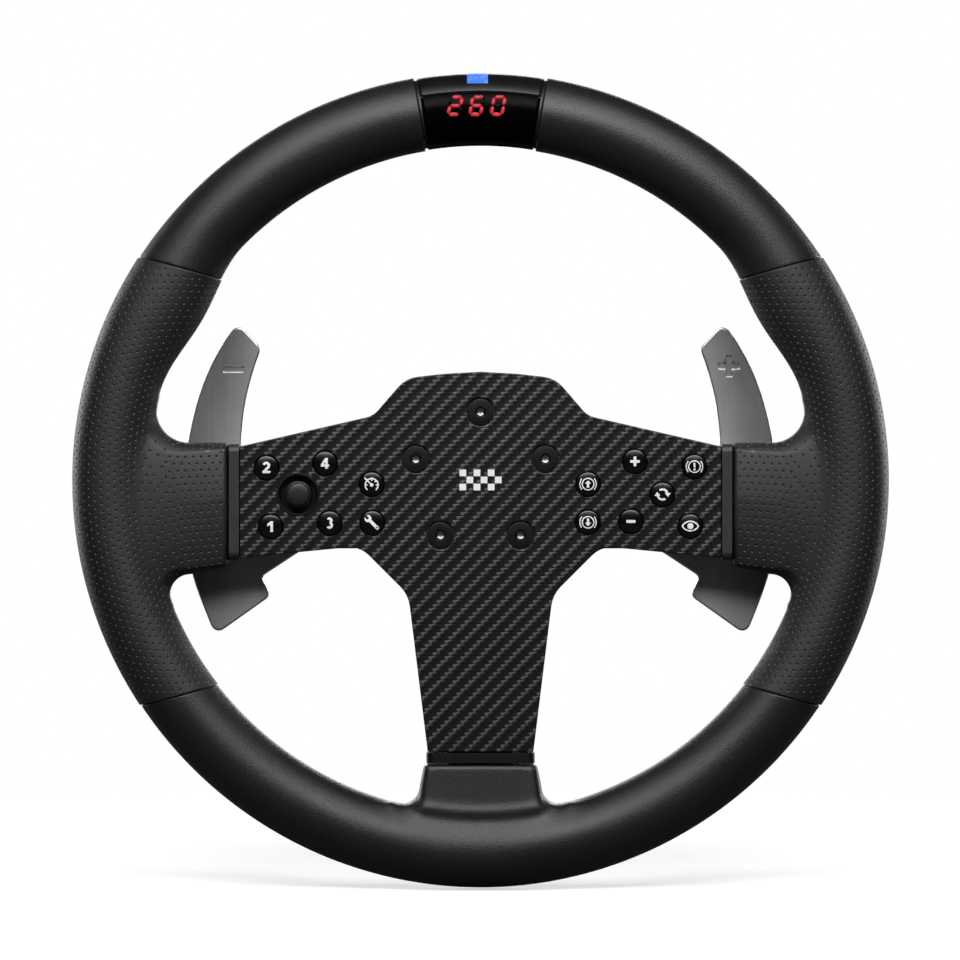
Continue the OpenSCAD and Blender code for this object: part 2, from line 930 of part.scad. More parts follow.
module cover_screws() {
    screw_len = 16;
    color("silver")
        driver_view()
            pillar_spots()
                translate([0, 0, cover_back]) {
                    difference() {
                        cylinder(h = cover_head_t, r = cover_head_r);
                        translate([0, 0, -eps])
                            cylinder(h = 1, r = 1, $fn = 6);
                    }
                    cylinder(h = screw_len, r = cover_screw_r);
                }
}

module main_board() {
    color("darkgreen")
        driver_view()
            difference() {
                translate([0, 0, board_low])
                    linear_extrude(board_t)
                        plate_shape(cover_wall + part_gap);
                translate([0, 0, board_low - cut])
                    cylinder(h = board_t + 2 * cut, r = boss_r + part_gap);
                pillar_spots()
                    translate([0, 0, board_low - cut])
                        cylinder(h = board_t + 2 * cut, r = pillar_r + run_gap);
            }
}

module tact_switches() {
    color("gray")
        driver_view()
            for (spot = BUTTON_SPOTS)
                translate([spot.x, spot.y, board_top]) {
                    translate([-switch_w / 2, -switch_w / 2, 0])
                        cube([switch_w, switch_w, switch_h]);
                    cylinder(h = switch_h + plunger_h, r = stem_r);
                }
}

module hub_screws() {
    socket_af_r = 1.75;
    socket_deep = 2.6;
    color("#151515")
        driver_view()
            hub_circle()
                difference() {
                    union() {
                        translate([0, 0, head_top - head_edge])
                            cylinder(h = head_edge, r = head_r);
                        translate([0, 0, cone_low])
                            cylinder(h = head_r - screw_r, r1 = screw_r, r2 = head_r);
                        translate([0, 0, screw_end])
                            cylinder(h = cone_low - screw_end + eps, r = screw_r);
                    }
                    translate([0, 0, head_top - socket_deep])
                        cylinder(h = socket_deep + cut, r = socket_af_r, $fn = 6);
                }
}

// ---------- spoke collars ----------

collar_top_in = 13.2;
collar_low_in = -29.4;

module side_collar() {
    difference() {
        translate([collar_in, 0, 0])
            rotate([90, 0, 90])
                linear_extrude(collar_t)
                    polygon(rounded(box_corners(
                        collar_low_in, collar_back,
                        collar_top_in, plate_front + collar_proud,
                        3
                    )));
        arm_room();
    }
}

module spoke_collar_right() {
    color("#202022")
        driver_view()
            side_collar();
}

module spoke_collar_left() {
    color("#202022")
        driver_view()
            mirror([1, 0, 0])
                side_collar();
}

module spoke_collar_bottom() {
    collar_half = 19.9;
    color("#202022")
        driver_view()
            difference() {
                translate([0, -foot_collar_in, 0])
                    rotate([90, 0, 0])
                        linear_extrude(collar_t)
                            polygon(rounded(box_corners(
                                -collar_half, collar_back,
                                collar_half, plate_front + collar_proud,
                                3
                            )));
                foot_arm(skin_gap);
            }
}

// ---------- buttons ----------

module button(spot) {
    color("#111113")
        driver_view()
            translate([spot.x, spot.y, 0]) {
                intersection() {
                    translate([0, 0, plate_back - button_flange_t])
                        cylinder(h = plate_t + button_flange_t + cap_rise + cap_dome + cut, r = cap_r);
                    translate([0, 0, plate_front + cap_rise + cap_dome - cap_dome_r])
                        sphere(cap_dome_r);
                }
                translate([0, 0, plate_back - button_flange_t])
                    cylinder(h = button_flange_t, r = button_flange_r);
                translate([0, 0, stem_low])
                    cylinder(h = plate_back - stem_low, r = stem_r);
            }
}

module button_1() { button(spot_1); }
module button_2() { button(spot_2); }
module button_3() { button(spot_3); }
module button_4() { button(spot_4); }
module button_limiter() { button(spot_limiter); }
module button_wrench() { button(spot_wrench); }
module button_up() { button(spot_up); }
module button_down() { button(spot_down); }
module button_plus() { button(spot_plus); }
module button_minus() { button(spot_minus); }
module button_alert() { button(spot_alert); }
module button_cycle() { button(spot_cycle); }
module button_eye() { button(spot_eye); }

// ---------- joystick ----------

module at_stick() {
    driver_view()
        translate([stick_spot.x, stick_spot.y, 0])
            children();
}

module joystick_base() {
    color("#333336")
        at_stick()
            difference() {
                translate([-stick_box_w / 2, -stick_box_w / 2, board_top])
                    cube([stick_box_w, stick_box_w, plate_back - part_gap - board_top]);
                translate([0, 0, board_top + stick_floor])
                    cylinder(h = plate_t + plate_back - board_top, r = stick_well_r);
                translate([-stick_box_w, 0, stick_pivot])
                    rotate([0, 90, 0])
                        cylinder(h = 2 * stick_box_w, r = stick_axle_r + run_gap);
            }
}

module joystick_ring() {
    lip = 0.3;
    lip_w = 0.45;
    color("#101012")
        at_stick()
            difference() {
                union() {
                    translate([0, 0, plate_back - part_gap])
                        cylinder(h = plate_t + part_gap + lip, r = stick_opening_r + stick_wall);
                    translate([0, 0, plate_front])
                        cylinder(h = lip, r = stick_opening_r + stick_wall + lip_w);
                }
                translate([0, 0, plate_back - cut])
                    cylinder(h = plate_t + 2 * cut, r = stick_opening_r);
            }
}

module joystick_gimbal() {
    color("silver")
        at_stick()
            translate([0, 0, stick_pivot]) {
                rotate([0, 90, 0]) {
                    cylinder(h = stick_box_w, r = stick_axle_r, center = true);
                    sphere(stick_ball_r);
                }
                rotate([90, 0, 0])
                    cylinder(h = 2 * stick_cup_r, r = stick_pin_r, center = true);
            }
}

module joystick_stick() {
    shaft_len = stick_cap_top - 1.6 - stick_pivot;
    slot_w = 2 * stick_axle_r + 0.3;
    slot_top = stick_axle_r + 0.55;
    cheek_low = -1.5;
    deep = 3 * stick_cup_r;
    color("silver")
        at_stick()
            translate([0, 0, stick_pivot])
                difference() {
                    union() {
                        sphere(stick_cup_r);
                        cylinder(h = shaft_len, r = stick_shaft_r);
                    }
                    sphere(stick_ball_r + run_gap);
                    translate([-deep, -slot_w / 2, slot_top - deep])
                        cube([2 * deep, slot_w, deep]);
                    translate([-deep, -deep, cheek_low - deep])
                        cube([2 * deep, 2 * deep, deep]);
                    rotate([90, 0, 0])
                        cylinder(h = deep, r = stick_pin_r + run_gap, center = true);
                }
}

module joystick_cap() {
    cap_h = stick_cap_top - stick_cap_low;
    dome_r = (pow(stick_cap_r, 2) + 1) / 2;
    color("#141416")
        at_stick()
            difference() {
                intersection() {
                    translate([0, 0, stick_cap_low])
                        cylinder(h = cap_h, r = stick_cap_r);
                    translate([0, 0, stick_cap_top - dome_r])
                        sphere(dome_r);
                }
                translate([0, 0, stick_cap_low - cut])
                    cylinder(h = stick_cap_top - 1 - stick_cap_low + cut, r = stick_shaft_r + run_gap);
            }
}

// ---------- quick release ----------

module ball_spots() {
    for (i = [0:ball_count - 1])
        rotate(360 * i / ball_count)
            translate([socket_r + ball_back + ball_r, 0, ball_z])
                children();
}

module quick_release_body() {
    color("#3c3c40")
        driver_view()
            difference() {
                union() {
                    translate([0, 0, mouth_chamfer])
                        cylinder(h = flange_back - mouth_chamfer + eps, r = socket_body_r);
                    cylinder(h = mouth_chamfer, r1 = socket_body_r - mouth_chamfer, r2 = socket_body_r);
                    translate([0, 0, flange_back])
                        cylinder(h = flange_t, r = flange_r);
                    translate([0, 0, flange_back - neck])
                        cylinder(h = neck + eps, r1 = socket_body_r, r2 = socket_body_r + neck);
                }
                translate([0, 0, -cut])
                    cylinder(h = socket_depth + cut, r = socket_r);
                translate([0, 0, clip_z])
                    difference() {
                        cylinder(h = clip_t, r = socket_body_r + cut);
                        translate([0, 0, -cut])
                            cylinder(h = clip_t + 2 * cut, r = socket_body_r - clip_deep);
                    }
                ball_spots()
                    rotate([0, 90, 0])
                        translate([0, 0, -2 * ball_r])
                            cylinder(h = socket_body_r, r = ball_r + run_gap);
                hub_circle()
                    translate([0, 0, screw_end - part_gap])
                        cylinder(h = flange_t, r = screw_r + run_gap);
                connector_shape(run_gap, socket_depth - cut, connector_end + cut);
            }
}

module quick_release_balls() {
    color("silver")
        driver_view()
            ball_spots()
                sphere(ball_r);
}

module retaining_ring() {
    color("gray")
        driver_view()
            translate([0, 0, clip_z + run_gap])
                difference() {
                    cylinder(h = clip_t - 2 * run_gap, r = clip_r);
                    translate([0, 0, -cut])
                        cylinder(h = clip_t + 2 * cut, r = socket_body_r - clip_deep + run_gap);
                    translate([0, -1.5, -cut])
                        cube([2 * clip_r, 3, clip_t + 2 * cut]);
                }
}

// Fluted ring that slides towards the hub to free the balls
module quick_release_ring() {
    color("#8f9196")
        driver_view()
            translate([0, 0, ring_z])
                difference() {
                    rotate_extrude($fn = 180)
                        polygon([
                            [socket_body_r + run_gap, 0],
                            [ring_r - ring_edge, 0],
                            [ring_r, ring_edge],
                            [ring_r, ring_len - ring_edge],
                            [ring_r - ring_edge, ring_len],
                            [ring_r - ring_edge, ring_len + ring_skirt],
                            [ring_r - ring_wall, ring_len + ring_skirt],
                            [ring_r - ring_wall, ring_len],
                            [socket_body_r + run_gap, ring_len]
                        ]);
                    for (i = [0:flutes - 1])
                        rotate(360 * (i + 0.5) / flutes)
                            translate([ring_r + flute_r - flute_depth, 0, -cut])
                                cylinder(h = ring_len - 3 * ring_edge + cut, r = flute_r);
                }
}

// Coil spring between the sliding ring and the flange
spring_low = ring_z + ring_len;
spring_high = flange_back - neck;
spring_play = 0.1;
module quick_release_spring() {
    steps_per_turn = 18;
    sides = 6;
    steps = steps_per_turn * spring_turns;
    rise = spring_high - spring_low - 2 * (spring_wire_r + spring_play);
    color("silver")
        driver_view()
            skin([for (i = [0:steps])
                let (
                    a = 360 * i / steps_per_turn,
                    z = spring_low + spring_wire_r + spring_play + rise * i / steps
                )
                [for (j = [0:sides - 1])
                    let (
                        t = -360 * j / sides,
                        rho = spring_r + spring_wire_r * cos(t)
                    )
                    [rho * cos(a), rho * sin(a), z + spring_wire_r * sin(t)]]]);
}

connector_w = 20;
connector_h = 9;
pin_len = 3;
pin_play = 0.2;
connector_z = socket_depth + pin_len + pin_play;
connector_end = flange_back + flange_t - 5;
module connector_shape(gap, from, to) {
    translate([-connector_w / 2 - gap, -connector_h / 2 - gap, from])
        cube([connector_w + 2 * gap, connector_h + 2 * gap, to - from]);
}

module connector_block() {
    color("#e8e8e0")
        driver_view()
            connector_shape(0, connector_z, connector_end);
}

module connector_pins() {
    pin_pitch = 2.54;
    pin_r = 0.4;
    color("gold")
        driver_view()
            for (i = [-3:3])
                for (side = [-1, 1])
                    translate([i * pin_pitch, side * pin_pitch / 2, connector_z - pin_len])
                        cylinder(h = pin_len, r = pin_r);
}

// ---------- shifters ----------

base_screw_r = 1.25;
base_head_t = 1.6;
base_head_r = 2.4;
base_screw_in = 3.2;
BASE_SCREW_Y = [arm_mid - bearing_len / 3, arm_mid + bearing_len / 3];
module base_screw_spots() {
    right_and_left()
        for (y = BASE_SCREW_Y)
            translate([base_in + base_screw_in, y, 0])
                children();
}

// Microswitch over the arm, as far off it as the pulled arm comes up
switch_in = 3.2;
switch_out = 7.6;
switch_wide = 6.4;
switch_low = blade_back + switch_out * tan(paddle_pull) + part_gap / 2;
module shifter_switch_at(gap) {
    translate([pivot_x + switch_in - gap, arm_mid - switch_wide / 2 - gap, 0])
        cube([switch_out - switch_in + 2 * gap, switch_wide + 2 * gap, cover_back]);
}

module shifter_base() {
    difference() {
        union() {
            translate([base_in, arm_mid - base_h / 2, base_floor])
                cube([base_out - base_in, base_h, cover_back - base_floor]);
            for (side = [-1, 1])
                translate([0, arm_mid + side * (base_h - ear_t) / 2 + ear_t / 2, 0])
                    rotate([90, 0, 0])
                        linear_extrude(ear_t)
                            polygon(rounded([
                                [base_in, base_floor + eps, 0.3],
                                [pivot_x - ear_half, pivot_z - ear_half, 4],
                                [pivot_x + ear_half, pivot_z - ear_half, 4],
                                [base_out, base_floor + eps, 0.3]
                            ]));
        }
        translate([pivot_x, arm_mid + base_h / 2 + cut, pivot_z])
            rotate([90, 0, 0])
                cylinder(h = base_h + 2 * cut, r = pivot_pin_r);
        intersection() {
            shifter_switch_at(run_gap);
            translate([0, -rim_d, base_floor - cut])
                cube([rim_d, 2 * rim_d, cover_back]);
        }
        for (y = BASE_SCREW_Y)
            translate([base_in + base_screw_in, y, base_floor - rim_plane])
                cylinder(h = 2 * rim_plane, r = base_screw_r + run_gap);
    }
}

module shifter_base_right() {
    color("#2a2a2c")
        driver_view()
            shifter_base();
}

module shifter_base_left() {
    color("#2a2a2c")
        driver_view()
            mirror([1, 0, 0])
                shifter_base();
}

module shifter_pins() {
    color("silver")
        driver_view()
            right_and_left()
                translate([pivot_x, arm_mid + base_h / 2, pivot_z])
                    rotate([90, 0, 0])
                        cylinder(h = base_h, r = pivot_pin_r);
}

module shifter_switches() {
    color("gray")
        driver_view()
            right_and_left()
                intersection() {
                    shifter_switch_at(0);
                    translate([0, -rim_d, switch_low])
                        cube([rim_d, 2 * rim_d, cover_back - switch_low]);
                }
}

module shifter_base_screws() {
    color("silver")
        driver_view()
            base_screw_spots()
                translate([0, 0, base_floor - base_head_t]) {
                    cylinder(h = base_head_t, r = base_head_r);
                    cylinder(h = cover_floor - base_floor + base_head_t, r = base_screw_r);
                }
}

module paddle_arm() {
    difference() {
        union() {
            translate([pivot_x, arm_mid + bearing_len / 2, pivot_z])
                rotate([90, 0, 0])
                    cylinder(h = bearing_len, r = arm_hub_r);
            translate([0, 0, blade_back - arm_thick])
                linear_extrude(arm_thick)
                    polygon(rounded([
                        [pivot_x, arm_mid - bearing_len / 2, 0.5],
                        [arm_reach - arm_corner, arm_mid - bearing_len / 2, 3],
                        [arm_reach, arm_mid - bearing_len / 2 + arm_corner, 4],
                        [arm_reach, arm_mid + bearing_len / 2 - arm_corner, 4],
                        [arm_reach - arm_corner, arm_mid + bearing_len / 2, 3],
                        [pivot_x, arm_mid + bearing_len / 2, 0.5]
                    ]));
        }
        translate([pivot_x, arm_mid + bearing_len / 2 + cut, pivot_z])
            rotate([90, 0, 0])
                cylinder(h = bearing_len + 2 * cut, r = pivot_pin_r + run_gap);
        for (spot = PADDLE_SCREW_SPOTS)
            translate([spot.x, spot.y, blade_back - arm_thick - cut])
                cylinder(h = arm_thick + 2 * cut, r = paddle_screw_r + run_gap);
    }
}

// Outline of the right blade: tab to the arm, lower lobe, outer arc, upper lobe
blade_in = pivot_x + arm_hub_r + 7;
edge_r = 96.2;
edge_step = 18;
function past_arm(dx, y, r) = [arm_reach + dx, y, r];
function edge_corner(angle) = past_arm(
    -70 + edge_r / cos(edge_step / 2) * cos(angle),
    edge_r / cos(edge_step / 2) * sin(angle),
    edge_r
);
BLADE_CORNERS = [
    [blade_in, arm_mid + 10, 2],
    [blade_in, arm_mid - 16.2, 2],
    past_arm(-2.4, -36, 1.8),
    past_arm(-6, -43, 2.4),
    past_arm(14.7, -57.7, 3),
    past_arm(26.2, -29.8, 60),
    edge_corner(edge_step / 2),
    edge_corner(edge_step * 1.5),
    past_arm(6.3, 58.5, 3),
    past_arm(-2.4, 49, 2),
    past_arm(4, 31.5, 130),
    past_arm(5.4, 8, 6)
];

module paddle_blade() {
    difference() {
        translate([0, 0, blade_back])
            linear_extrude(blade_t)
                polygon(rounded(BLADE_CORNERS));
        for (spot = PADDLE_SCREW_SPOTS)
            translate([spot.x, spot.y, blade_back - cut])
                cylinder(h = blade_t + 2 * cut, r = paddle_screw_r + run_gap);
    }
}

module paddle_screws() {
    head_t = 1.8;
    for (spot = PADDLE_SCREW_SPOTS)
        translate([spot.x, spot.y, blade_back - arm_thick - head_t])
            difference() {
                union() {
                    cylinder(h = head_t, r = paddle_head_r);
                    cylinder(h = head_t + arm_thick + blade_t, r = paddle_screw_r);
                }
                translate([0, 0, -eps])
                    cylinder(h = 1.2, r = 1.2, $fn = 6);
            }
}

module paddle_arm_right() {
    color("#2c2c2e")
        driver_view()
            paddle_arm();
}

module paddle_arm_left() {
    color("#2c2c2e")
        driver_view()
            mirror([1, 0, 0])
                paddle_arm();
}

module paddle_blade_right() {
    color("#77787a")
        driver_view()
            paddle_blade();
}

module paddle_blade_left() {
    color("#77787a")
        driver_view()
            mirror([1, 0, 0])
                paddle_blade();
}

module paddle_screws_right() {
    color("silver")
        driver_view()
            paddle_screws();
}

module paddle_screws_left() {
    color("silver")
        driver_view()
            mirror([1, 0, 0])
                paddle_screws();
}

rim_core();
rim_upper_left();
rim_upper_right();
rim_lower();
grip_left();
grip_right();
display_housing();
display_window();
display_digits();
display_board();
display_light();
face_plate();
rear_cover();
main_board();
tact_switches();
spoke_collar_left();
spoke_collar_right();
spoke_collar_bottom();
hub_screws();
cover_screws();
shifter_base_left();
shifter_base_right();
shifter_pins();
shifter_switches();
shifter_base_screws();
joystick_base();
joystick_ring();
joystick_gimbal();
joystick_stick();
joystick_cap();
quick_release_body();
quick_release_ring();
quick_release_spring();
quick_release_balls();
retaining_ring();
connector_block();
connector_pins();
button_1();
button_2();
button_3();
button_4();
button_limiter();
button_wrench();
button_up();
button_down();
button_plus();
button_minus();
button_alert();
button_cycle();
button_eye();
paddle_arm_left();
paddle_blade_left();
paddle_screws_left();
paddle_arm_right();
paddle_blade_right();
paddle_screws_right();
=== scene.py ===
# %% [markdown]
# # Dressing a racing wheel
# The frame is a finished construction model: every part has its right size and place, and its
# joints move. What it lacks is the surface a hand would feel: moulded skins that flow into each
# other, punched leather, carbon weave, printed signs and glowing digits. All lengths are thought of
# in millimetres, because that is how such a wheel is drawn, and turned into metres at the last
# moment.

import json
import math

import bmesh
import bpy
import numpy as np
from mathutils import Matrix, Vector, kdtree
from mathutils.geometry import delaunay_2d_cdt

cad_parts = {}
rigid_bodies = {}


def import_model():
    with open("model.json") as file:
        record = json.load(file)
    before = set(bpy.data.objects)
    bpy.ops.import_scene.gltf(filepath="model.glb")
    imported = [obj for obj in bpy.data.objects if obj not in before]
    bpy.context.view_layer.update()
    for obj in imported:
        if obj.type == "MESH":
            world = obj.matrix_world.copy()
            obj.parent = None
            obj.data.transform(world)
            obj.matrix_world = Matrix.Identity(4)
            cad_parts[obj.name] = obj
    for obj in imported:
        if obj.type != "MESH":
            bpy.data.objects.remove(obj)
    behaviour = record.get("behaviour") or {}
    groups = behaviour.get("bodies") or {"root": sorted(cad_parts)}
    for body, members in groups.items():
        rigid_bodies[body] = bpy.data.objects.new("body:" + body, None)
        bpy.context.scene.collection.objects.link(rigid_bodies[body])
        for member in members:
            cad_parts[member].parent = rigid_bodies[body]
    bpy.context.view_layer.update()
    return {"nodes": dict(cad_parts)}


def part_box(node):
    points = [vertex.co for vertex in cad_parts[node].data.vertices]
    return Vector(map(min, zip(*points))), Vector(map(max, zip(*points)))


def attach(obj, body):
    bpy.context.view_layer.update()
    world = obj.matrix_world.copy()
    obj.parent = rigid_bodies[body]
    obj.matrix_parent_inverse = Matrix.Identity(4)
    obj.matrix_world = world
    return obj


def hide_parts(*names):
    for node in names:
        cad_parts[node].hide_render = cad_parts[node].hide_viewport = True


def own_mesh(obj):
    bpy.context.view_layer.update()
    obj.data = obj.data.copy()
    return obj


for leftover in list(bpy.data.objects):
    bpy.data.objects.remove(leftover)
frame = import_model()
MM = 0.001

# %% [markdown]
# The frame answers where things are. These three helpers give a node's lowest corner, highest
# corner and middle in millimetres. X runs to the driver's right, Y away from the driver and Z up,
# so the side that faces the driver has the lowest Y.

# %% Ask the frame for places
def low(node):
    return np.array(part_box(node)[0]) / MM


def high(node):
    return np.array(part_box(node)[1]) / MM


def middle(node):
    return (low(node) + high(node)) / 2


TUBE_R = 13.65
RIM_Y = middle("display_housing")[1]
RIM_R = -low("rim_lower")[2]
PATH_R = RIM_R - TUBE_R
GRIP_R = high("grip_right")[0] - PATH_R
print(f"rim {2 * RIM_R:.1f} mm across, tube {2 * TUBE_R:.1f} mm, grip tube {2 * GRIP_R:.1f} mm")

# %% [markdown]
# ## Writing shader nodes as formulas
# A material's pattern is arithmetic on the surface's coordinates. Wiring dozens of Math nodes by
# hand hides the idea, so a small wrapper lets a socket be added, multiplied or compared like a
# number.

# %% A socket that behaves like a number
class Num:
    def __init__(self, tree, socket):
        self.tree, self.socket = tree, socket

    def op(self, kind, *others, clamp=False):
        node = self.tree.nodes.new("ShaderNodeMath")
        node.operation, node.use_clamp = kind, clamp
        for port, value in zip(node.inputs, (self, *others)):
            plug(self.tree, port, value)
        return Num(self.tree, node.outputs[0])

    def __add__(self, other): return self.op("ADD", other)
    def __sub__(self, other): return self.op("SUBTRACT", other)
    def __mul__(self, other): return self.op("MULTIPLY", other)
    def __truediv__(self, other): return self.op("DIVIDE", other)
    def __mod__(self, other): return self.op("FLOORED_MODULO", other)
    def __pow__(self, other): return self.op("POWER", other)
    def __gt__(self, other): return self.op("GREATER_THAN", other)

    def floor(self): return self.op("FLOOR")
    def part(self): return self.op("FRACT")
    def size(self): return self.op("ABSOLUTE")
    def hump(self): return (self * math.pi).op("SINE")
    def least(self, other): return self.op("MINIMUM", other)
    def most(self, other): return self.op("MAXIMUM", other)
    def ramp(self, start, end): return ((self - start) / (end - start)).op("ADD", 0.0, clamp=True)


def plug(tree, port, value):
    if isinstance(value, Num):
        tree.links.new(value.socket, port)
    elif hasattr(value, "is_output"):
        tree.links.new(value, port)
    else:
        port.default_value = value


print("a socket can:", ", ".join(name for name in vars(Num) if name[0] != "_"))

# %% [markdown]
# A `Finish` is one material. It offers the object's coordinates in millimetres, noise and cell
# patterns at a size in millimetres, a blend between two colours, and bump by a height in
# millimetres.

# %% A material builder
class Finish:
    def __init__(self, name, **plain):
        self.material = bpy.data.materials.new(name)
        self.material.use_nodes = True
        self.tree = self.material.node_tree
        self.shader = self.tree.nodes["Principled BSDF"]
        self.coordinates = self.new("ShaderNodeTexCoord").outputs["Object"]
        self.set(**plain)

    def new(self, kind, ports=(), **settings):
        """A node of this kind; `ports` gives its inputs, by name or number."""
        node = self.tree.nodes.new(kind)
        for key, value in settings.items():
            setattr(node, key, value)
        for key, value in dict(ports).items():
            plug(self.tree, node.inputs[key], value)
        return node

    def set(self, **values):
        for key, value in values.items():
            plug(self.tree, self.shader.inputs[key.replace("_", " ")], value)

    def xyz(self):
        split = self.new("ShaderNodeSeparateXYZ", {0: self.coordinates})
        return [Num(self.tree, port) / MM for port in split.outputs]

    def stretched(self, x, y, z):
        ports = {0: self.coordinates, 1: (x, y, z)}
        return self.new("ShaderNodeVectorMath", ports, operation="MULTIPLY").outputs[0]

    def noise(self, size, detail=2.0, place=None):
        ports = {"Vector": place or self.coordinates, "Scale": 1 / (size * MM), "Detail": detail}
        return Num(self.tree, self.new("ShaderNodeTexNoise", ports).outputs["Fac"])

    def cells(self, size, place):
        """How far each point is from the border of its cell."""
        ports = {"Vector": place, "Scale": 1 / (size * MM)}
        node = self.new("ShaderNodeTexVoronoi", ports, feature="DISTANCE_TO_EDGE")
        return Num(self.tree, node.outputs["Distance"])

    def wavy(self, size, push):
        """Coordinates pushed about by noise, so that a regular pattern looks grown."""
        ports = {"Vector": self.coordinates, "Scale": 1 / (size * MM)}
        noise = self.new("ShaderNodeTexNoise", ports)
        ports = {0: noise.outputs["Color"], 1: (push * MM,) * 3, 2: self.coordinates}
        return self.new("ShaderNodeVectorMath", ports, operation="MULTIPLY_ADD").outputs[0]

    def blend(self, share, a, b):
        node = self.new("ShaderNodeMix", data_type="RGBA")
        for port, value in (("Factor", share), ("A", colour(a)), ("B", colour(b))):
            plug(self.tree, node.inputs[port], value)
        return node.outputs["Result"]

    def bump(self, height, tall):
        self.set(
            Normal=self.new("ShaderNodeBump", {"Distance": tall * MM, "Height": height}).outputs[0]
        )


def colour(value):
    if isinstance(value, (int, float)):
        return (value, value, value, 1.0)
    if isinstance(value, tuple) and len(value) == 3:
        return (*value, 1.0)
    return value


print("a finish can:", ", ".join(name for name in vars(Finish) if name[0] != "_"))

# %% [markdown]
# ## The moulded skins
# The smooth parts of the rim are a soft rubber with a leather grain: pebbles under a millimetre
# across, with fine creases between them. Cells give the pebbles, and pushing the coordinates with
# noise keeps them from looking like a honeycomb. The grips have the same skin, a little more matt
# and with a finer grain between the punched holes.

# %% Leather-grained rubber
def grained_skin(name, dark, light, pebble, tall, rough):
    skin = Finish(name)
    place = skin.wavy(pebble * 2.5, pebble * 0.9)
    pebbles = skin.cells(pebble, place).ramp(0.0, 0.22)
    pores = skin.noise(pebble * 0.45, detail=3.0)
    patches = skin.noise(38.0, detail=3.0)
    grain = pebbles * 0.7 + pores * 0.45
    skin.set(
        Base_Color=skin.blend((grain * 0.8 + patches * 0.35).ramp(0.25, 1.1), dark, light),
        Roughness=(patches * 0.16 + pores * 0.14 + (rough - 0.15)),
        Specular_IOR_Level=0.5,
    )
    skin.bump(grain, tall)
    return skin.material


smooth_skin = grained_skin("smooth_rubber_skin", 0.006, 0.012, 0.75, 0.035, 0.42)
grip_skin = grained_skin(
    "punched_grip_skin", (0.008, 0.0083, 0.0086), (0.016, 0.0165, 0.017), 0.5, 0.03, 0.5
)
# Painted highlight: the pit walls get a skin several times paler than the grip, standing for light caught on
# the walls of the holes.
painted_highlight_wall = grained_skin("painted_highlight_pit_walls", 0.045, 0.08, 0.5, 0.02, 0.4)
# Painted shade: the pit bottoms, and the seam liners further down, get a near-black skin, standing for the
# shade deep in holes and gaps.
painted_shade_black = grained_skin("painted_shade_pits_and_seams", 0.001, 0.0025, 0.5, 0.02, 0.6)
print("skins:", smooth_skin.name, grip_skin.name, painted_highlight_wall.name, painted_shade_black.name)

# %% [markdown]
# ## Turning shapes into meshes
# Every piece ends the same way, so one helper does it: `add_piece` makes an object from points and
# faces, gives it its material, lets it ride on a body and hides the frame nodes it stands for.
# Smooth shading everywhere is right here, because every edge below is a real rounding. `joined`
# puts several meshes into one, and `mirrored` makes the left part from the right one.

# %% Make a piece
def add_piece(name, points, faces, material, body="wheel", stands_for=(), slot=None, marks=None):
    mesh = bpy.data.meshes.new(name)
    points = np.asarray(points, float) * MM
    mesh.from_pydata(points.tolist(), [], [list(map(int, f)) for f in faces])
    materials = material if isinstance(material, (list, tuple)) else [material]
    for one in materials:
        mesh.materials.append(one)
    if marks is not None:
        mesh.polygons.foreach_set("material_index", np.asarray(marks, np.int32))
    mesh.polygons.foreach_set("use_smooth", np.ones(len(mesh.polygons), bool))
    mesh.update()
    piece = bpy.data.objects.new(name, mesh)
    bpy.context.scene.collection.objects.link(piece)
    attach(piece, body)
    if stands_for:
        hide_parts(*stands_for)
    print(f"{name}: {len(mesh.vertices)} points, {len(mesh.polygons)} faces")
    return piece


def joined(*meshes):
    points, faces = [], []
    for some, these in meshes:
        shift = sum(len(p) for p in points)
        points.append(np.asarray(some, float))
        faces += [[i + shift for i in face] for face in these]
    return np.concatenate(points), faces


def mirrored(points, faces):
    return points * (-1, 1, 1), [list(f)[::-1] for f in faces]


# %% [markdown]
# Most pieces are closed rings of points, one behind the other, with a band of squares between each
# two. `lofted` makes them all and closes both ends, so that a section carried along a path becomes
# a solid. Wound the other way, the faces look the other way.

# %% Bands of squares between rings
def band(one, two, other_way=False):
    """Squares between two closed rings, each given as the numbers of its points."""
    quads = zip(one, np.roll(one, -1).tolist(), np.roll(two, -1).tolist(), two)
    return [[a, d, c, b] if other_way else [a, b, c, d] for a, b, c, d in quads]


def lofted(rings, count, other_way=False):
    """Faces of a solid whose points are `rings` rings of `count` points each."""
    rows = [list(range(row * count, (row + 1) * count)) for row in range(rings)]
    faces = [quad for one, two in zip(rows, rows[1:]) for quad in band(one, two, other_way)]
    return faces + ([rows[0], rows[-1][::-1]] if other_way else [rows[0][::-1], rows[-1]])


def even_turns(count):
    """Angles of equal steps, once round."""
    return 2 * math.pi * np.arange(count) / count


print("faces of a box made of two rings:", len(lofted(2, 4)))

# %% [markdown]
# A grip is a tube that swells for the thumb and melts into the spoke's stub. Such a shape is hard
# to model from panels and easy as a distance field: a function that says how far any point is
# from the surface. Fields are joined with `soft_union`, which leaves a smooth valley, and cut with
# `soft_cut`, which leaves a rounded edge.

# %% Soft joins and the tube
def soft_union(a, b, k):
    h = np.maximum(k - np.abs(a - b), 0) / k
    return np.minimum(a, b) - h * h * k / 4


def soft_cut(a, b, k):
    return -soft_union(-a, -b, k)


def tube_field(p, radius, swell):
    around = np.hypot(p[:, 0], p[:, 2]) - PATH_R
    toward = RIM_Y - p[:, 1]
    return np.hypot(around, toward) - radius - swell(p, around, toward)


print(f"a soft join of 3 mm adds {-soft_union(0.0, 0.0, 3.0):.2f} mm in the corner")

# %% [markdown]
# A stub is the flattened arm that the skin forms over each spoke. It could be lofted from sections,
# but as a field it is simpler: a rounded slab whose side edges turn outwards in an arc of a given
# radius where they meet the rim. `inner_side` tells where the tube's inner side is at each depth,
# so the arc runs into the round tube without a step anywhere.

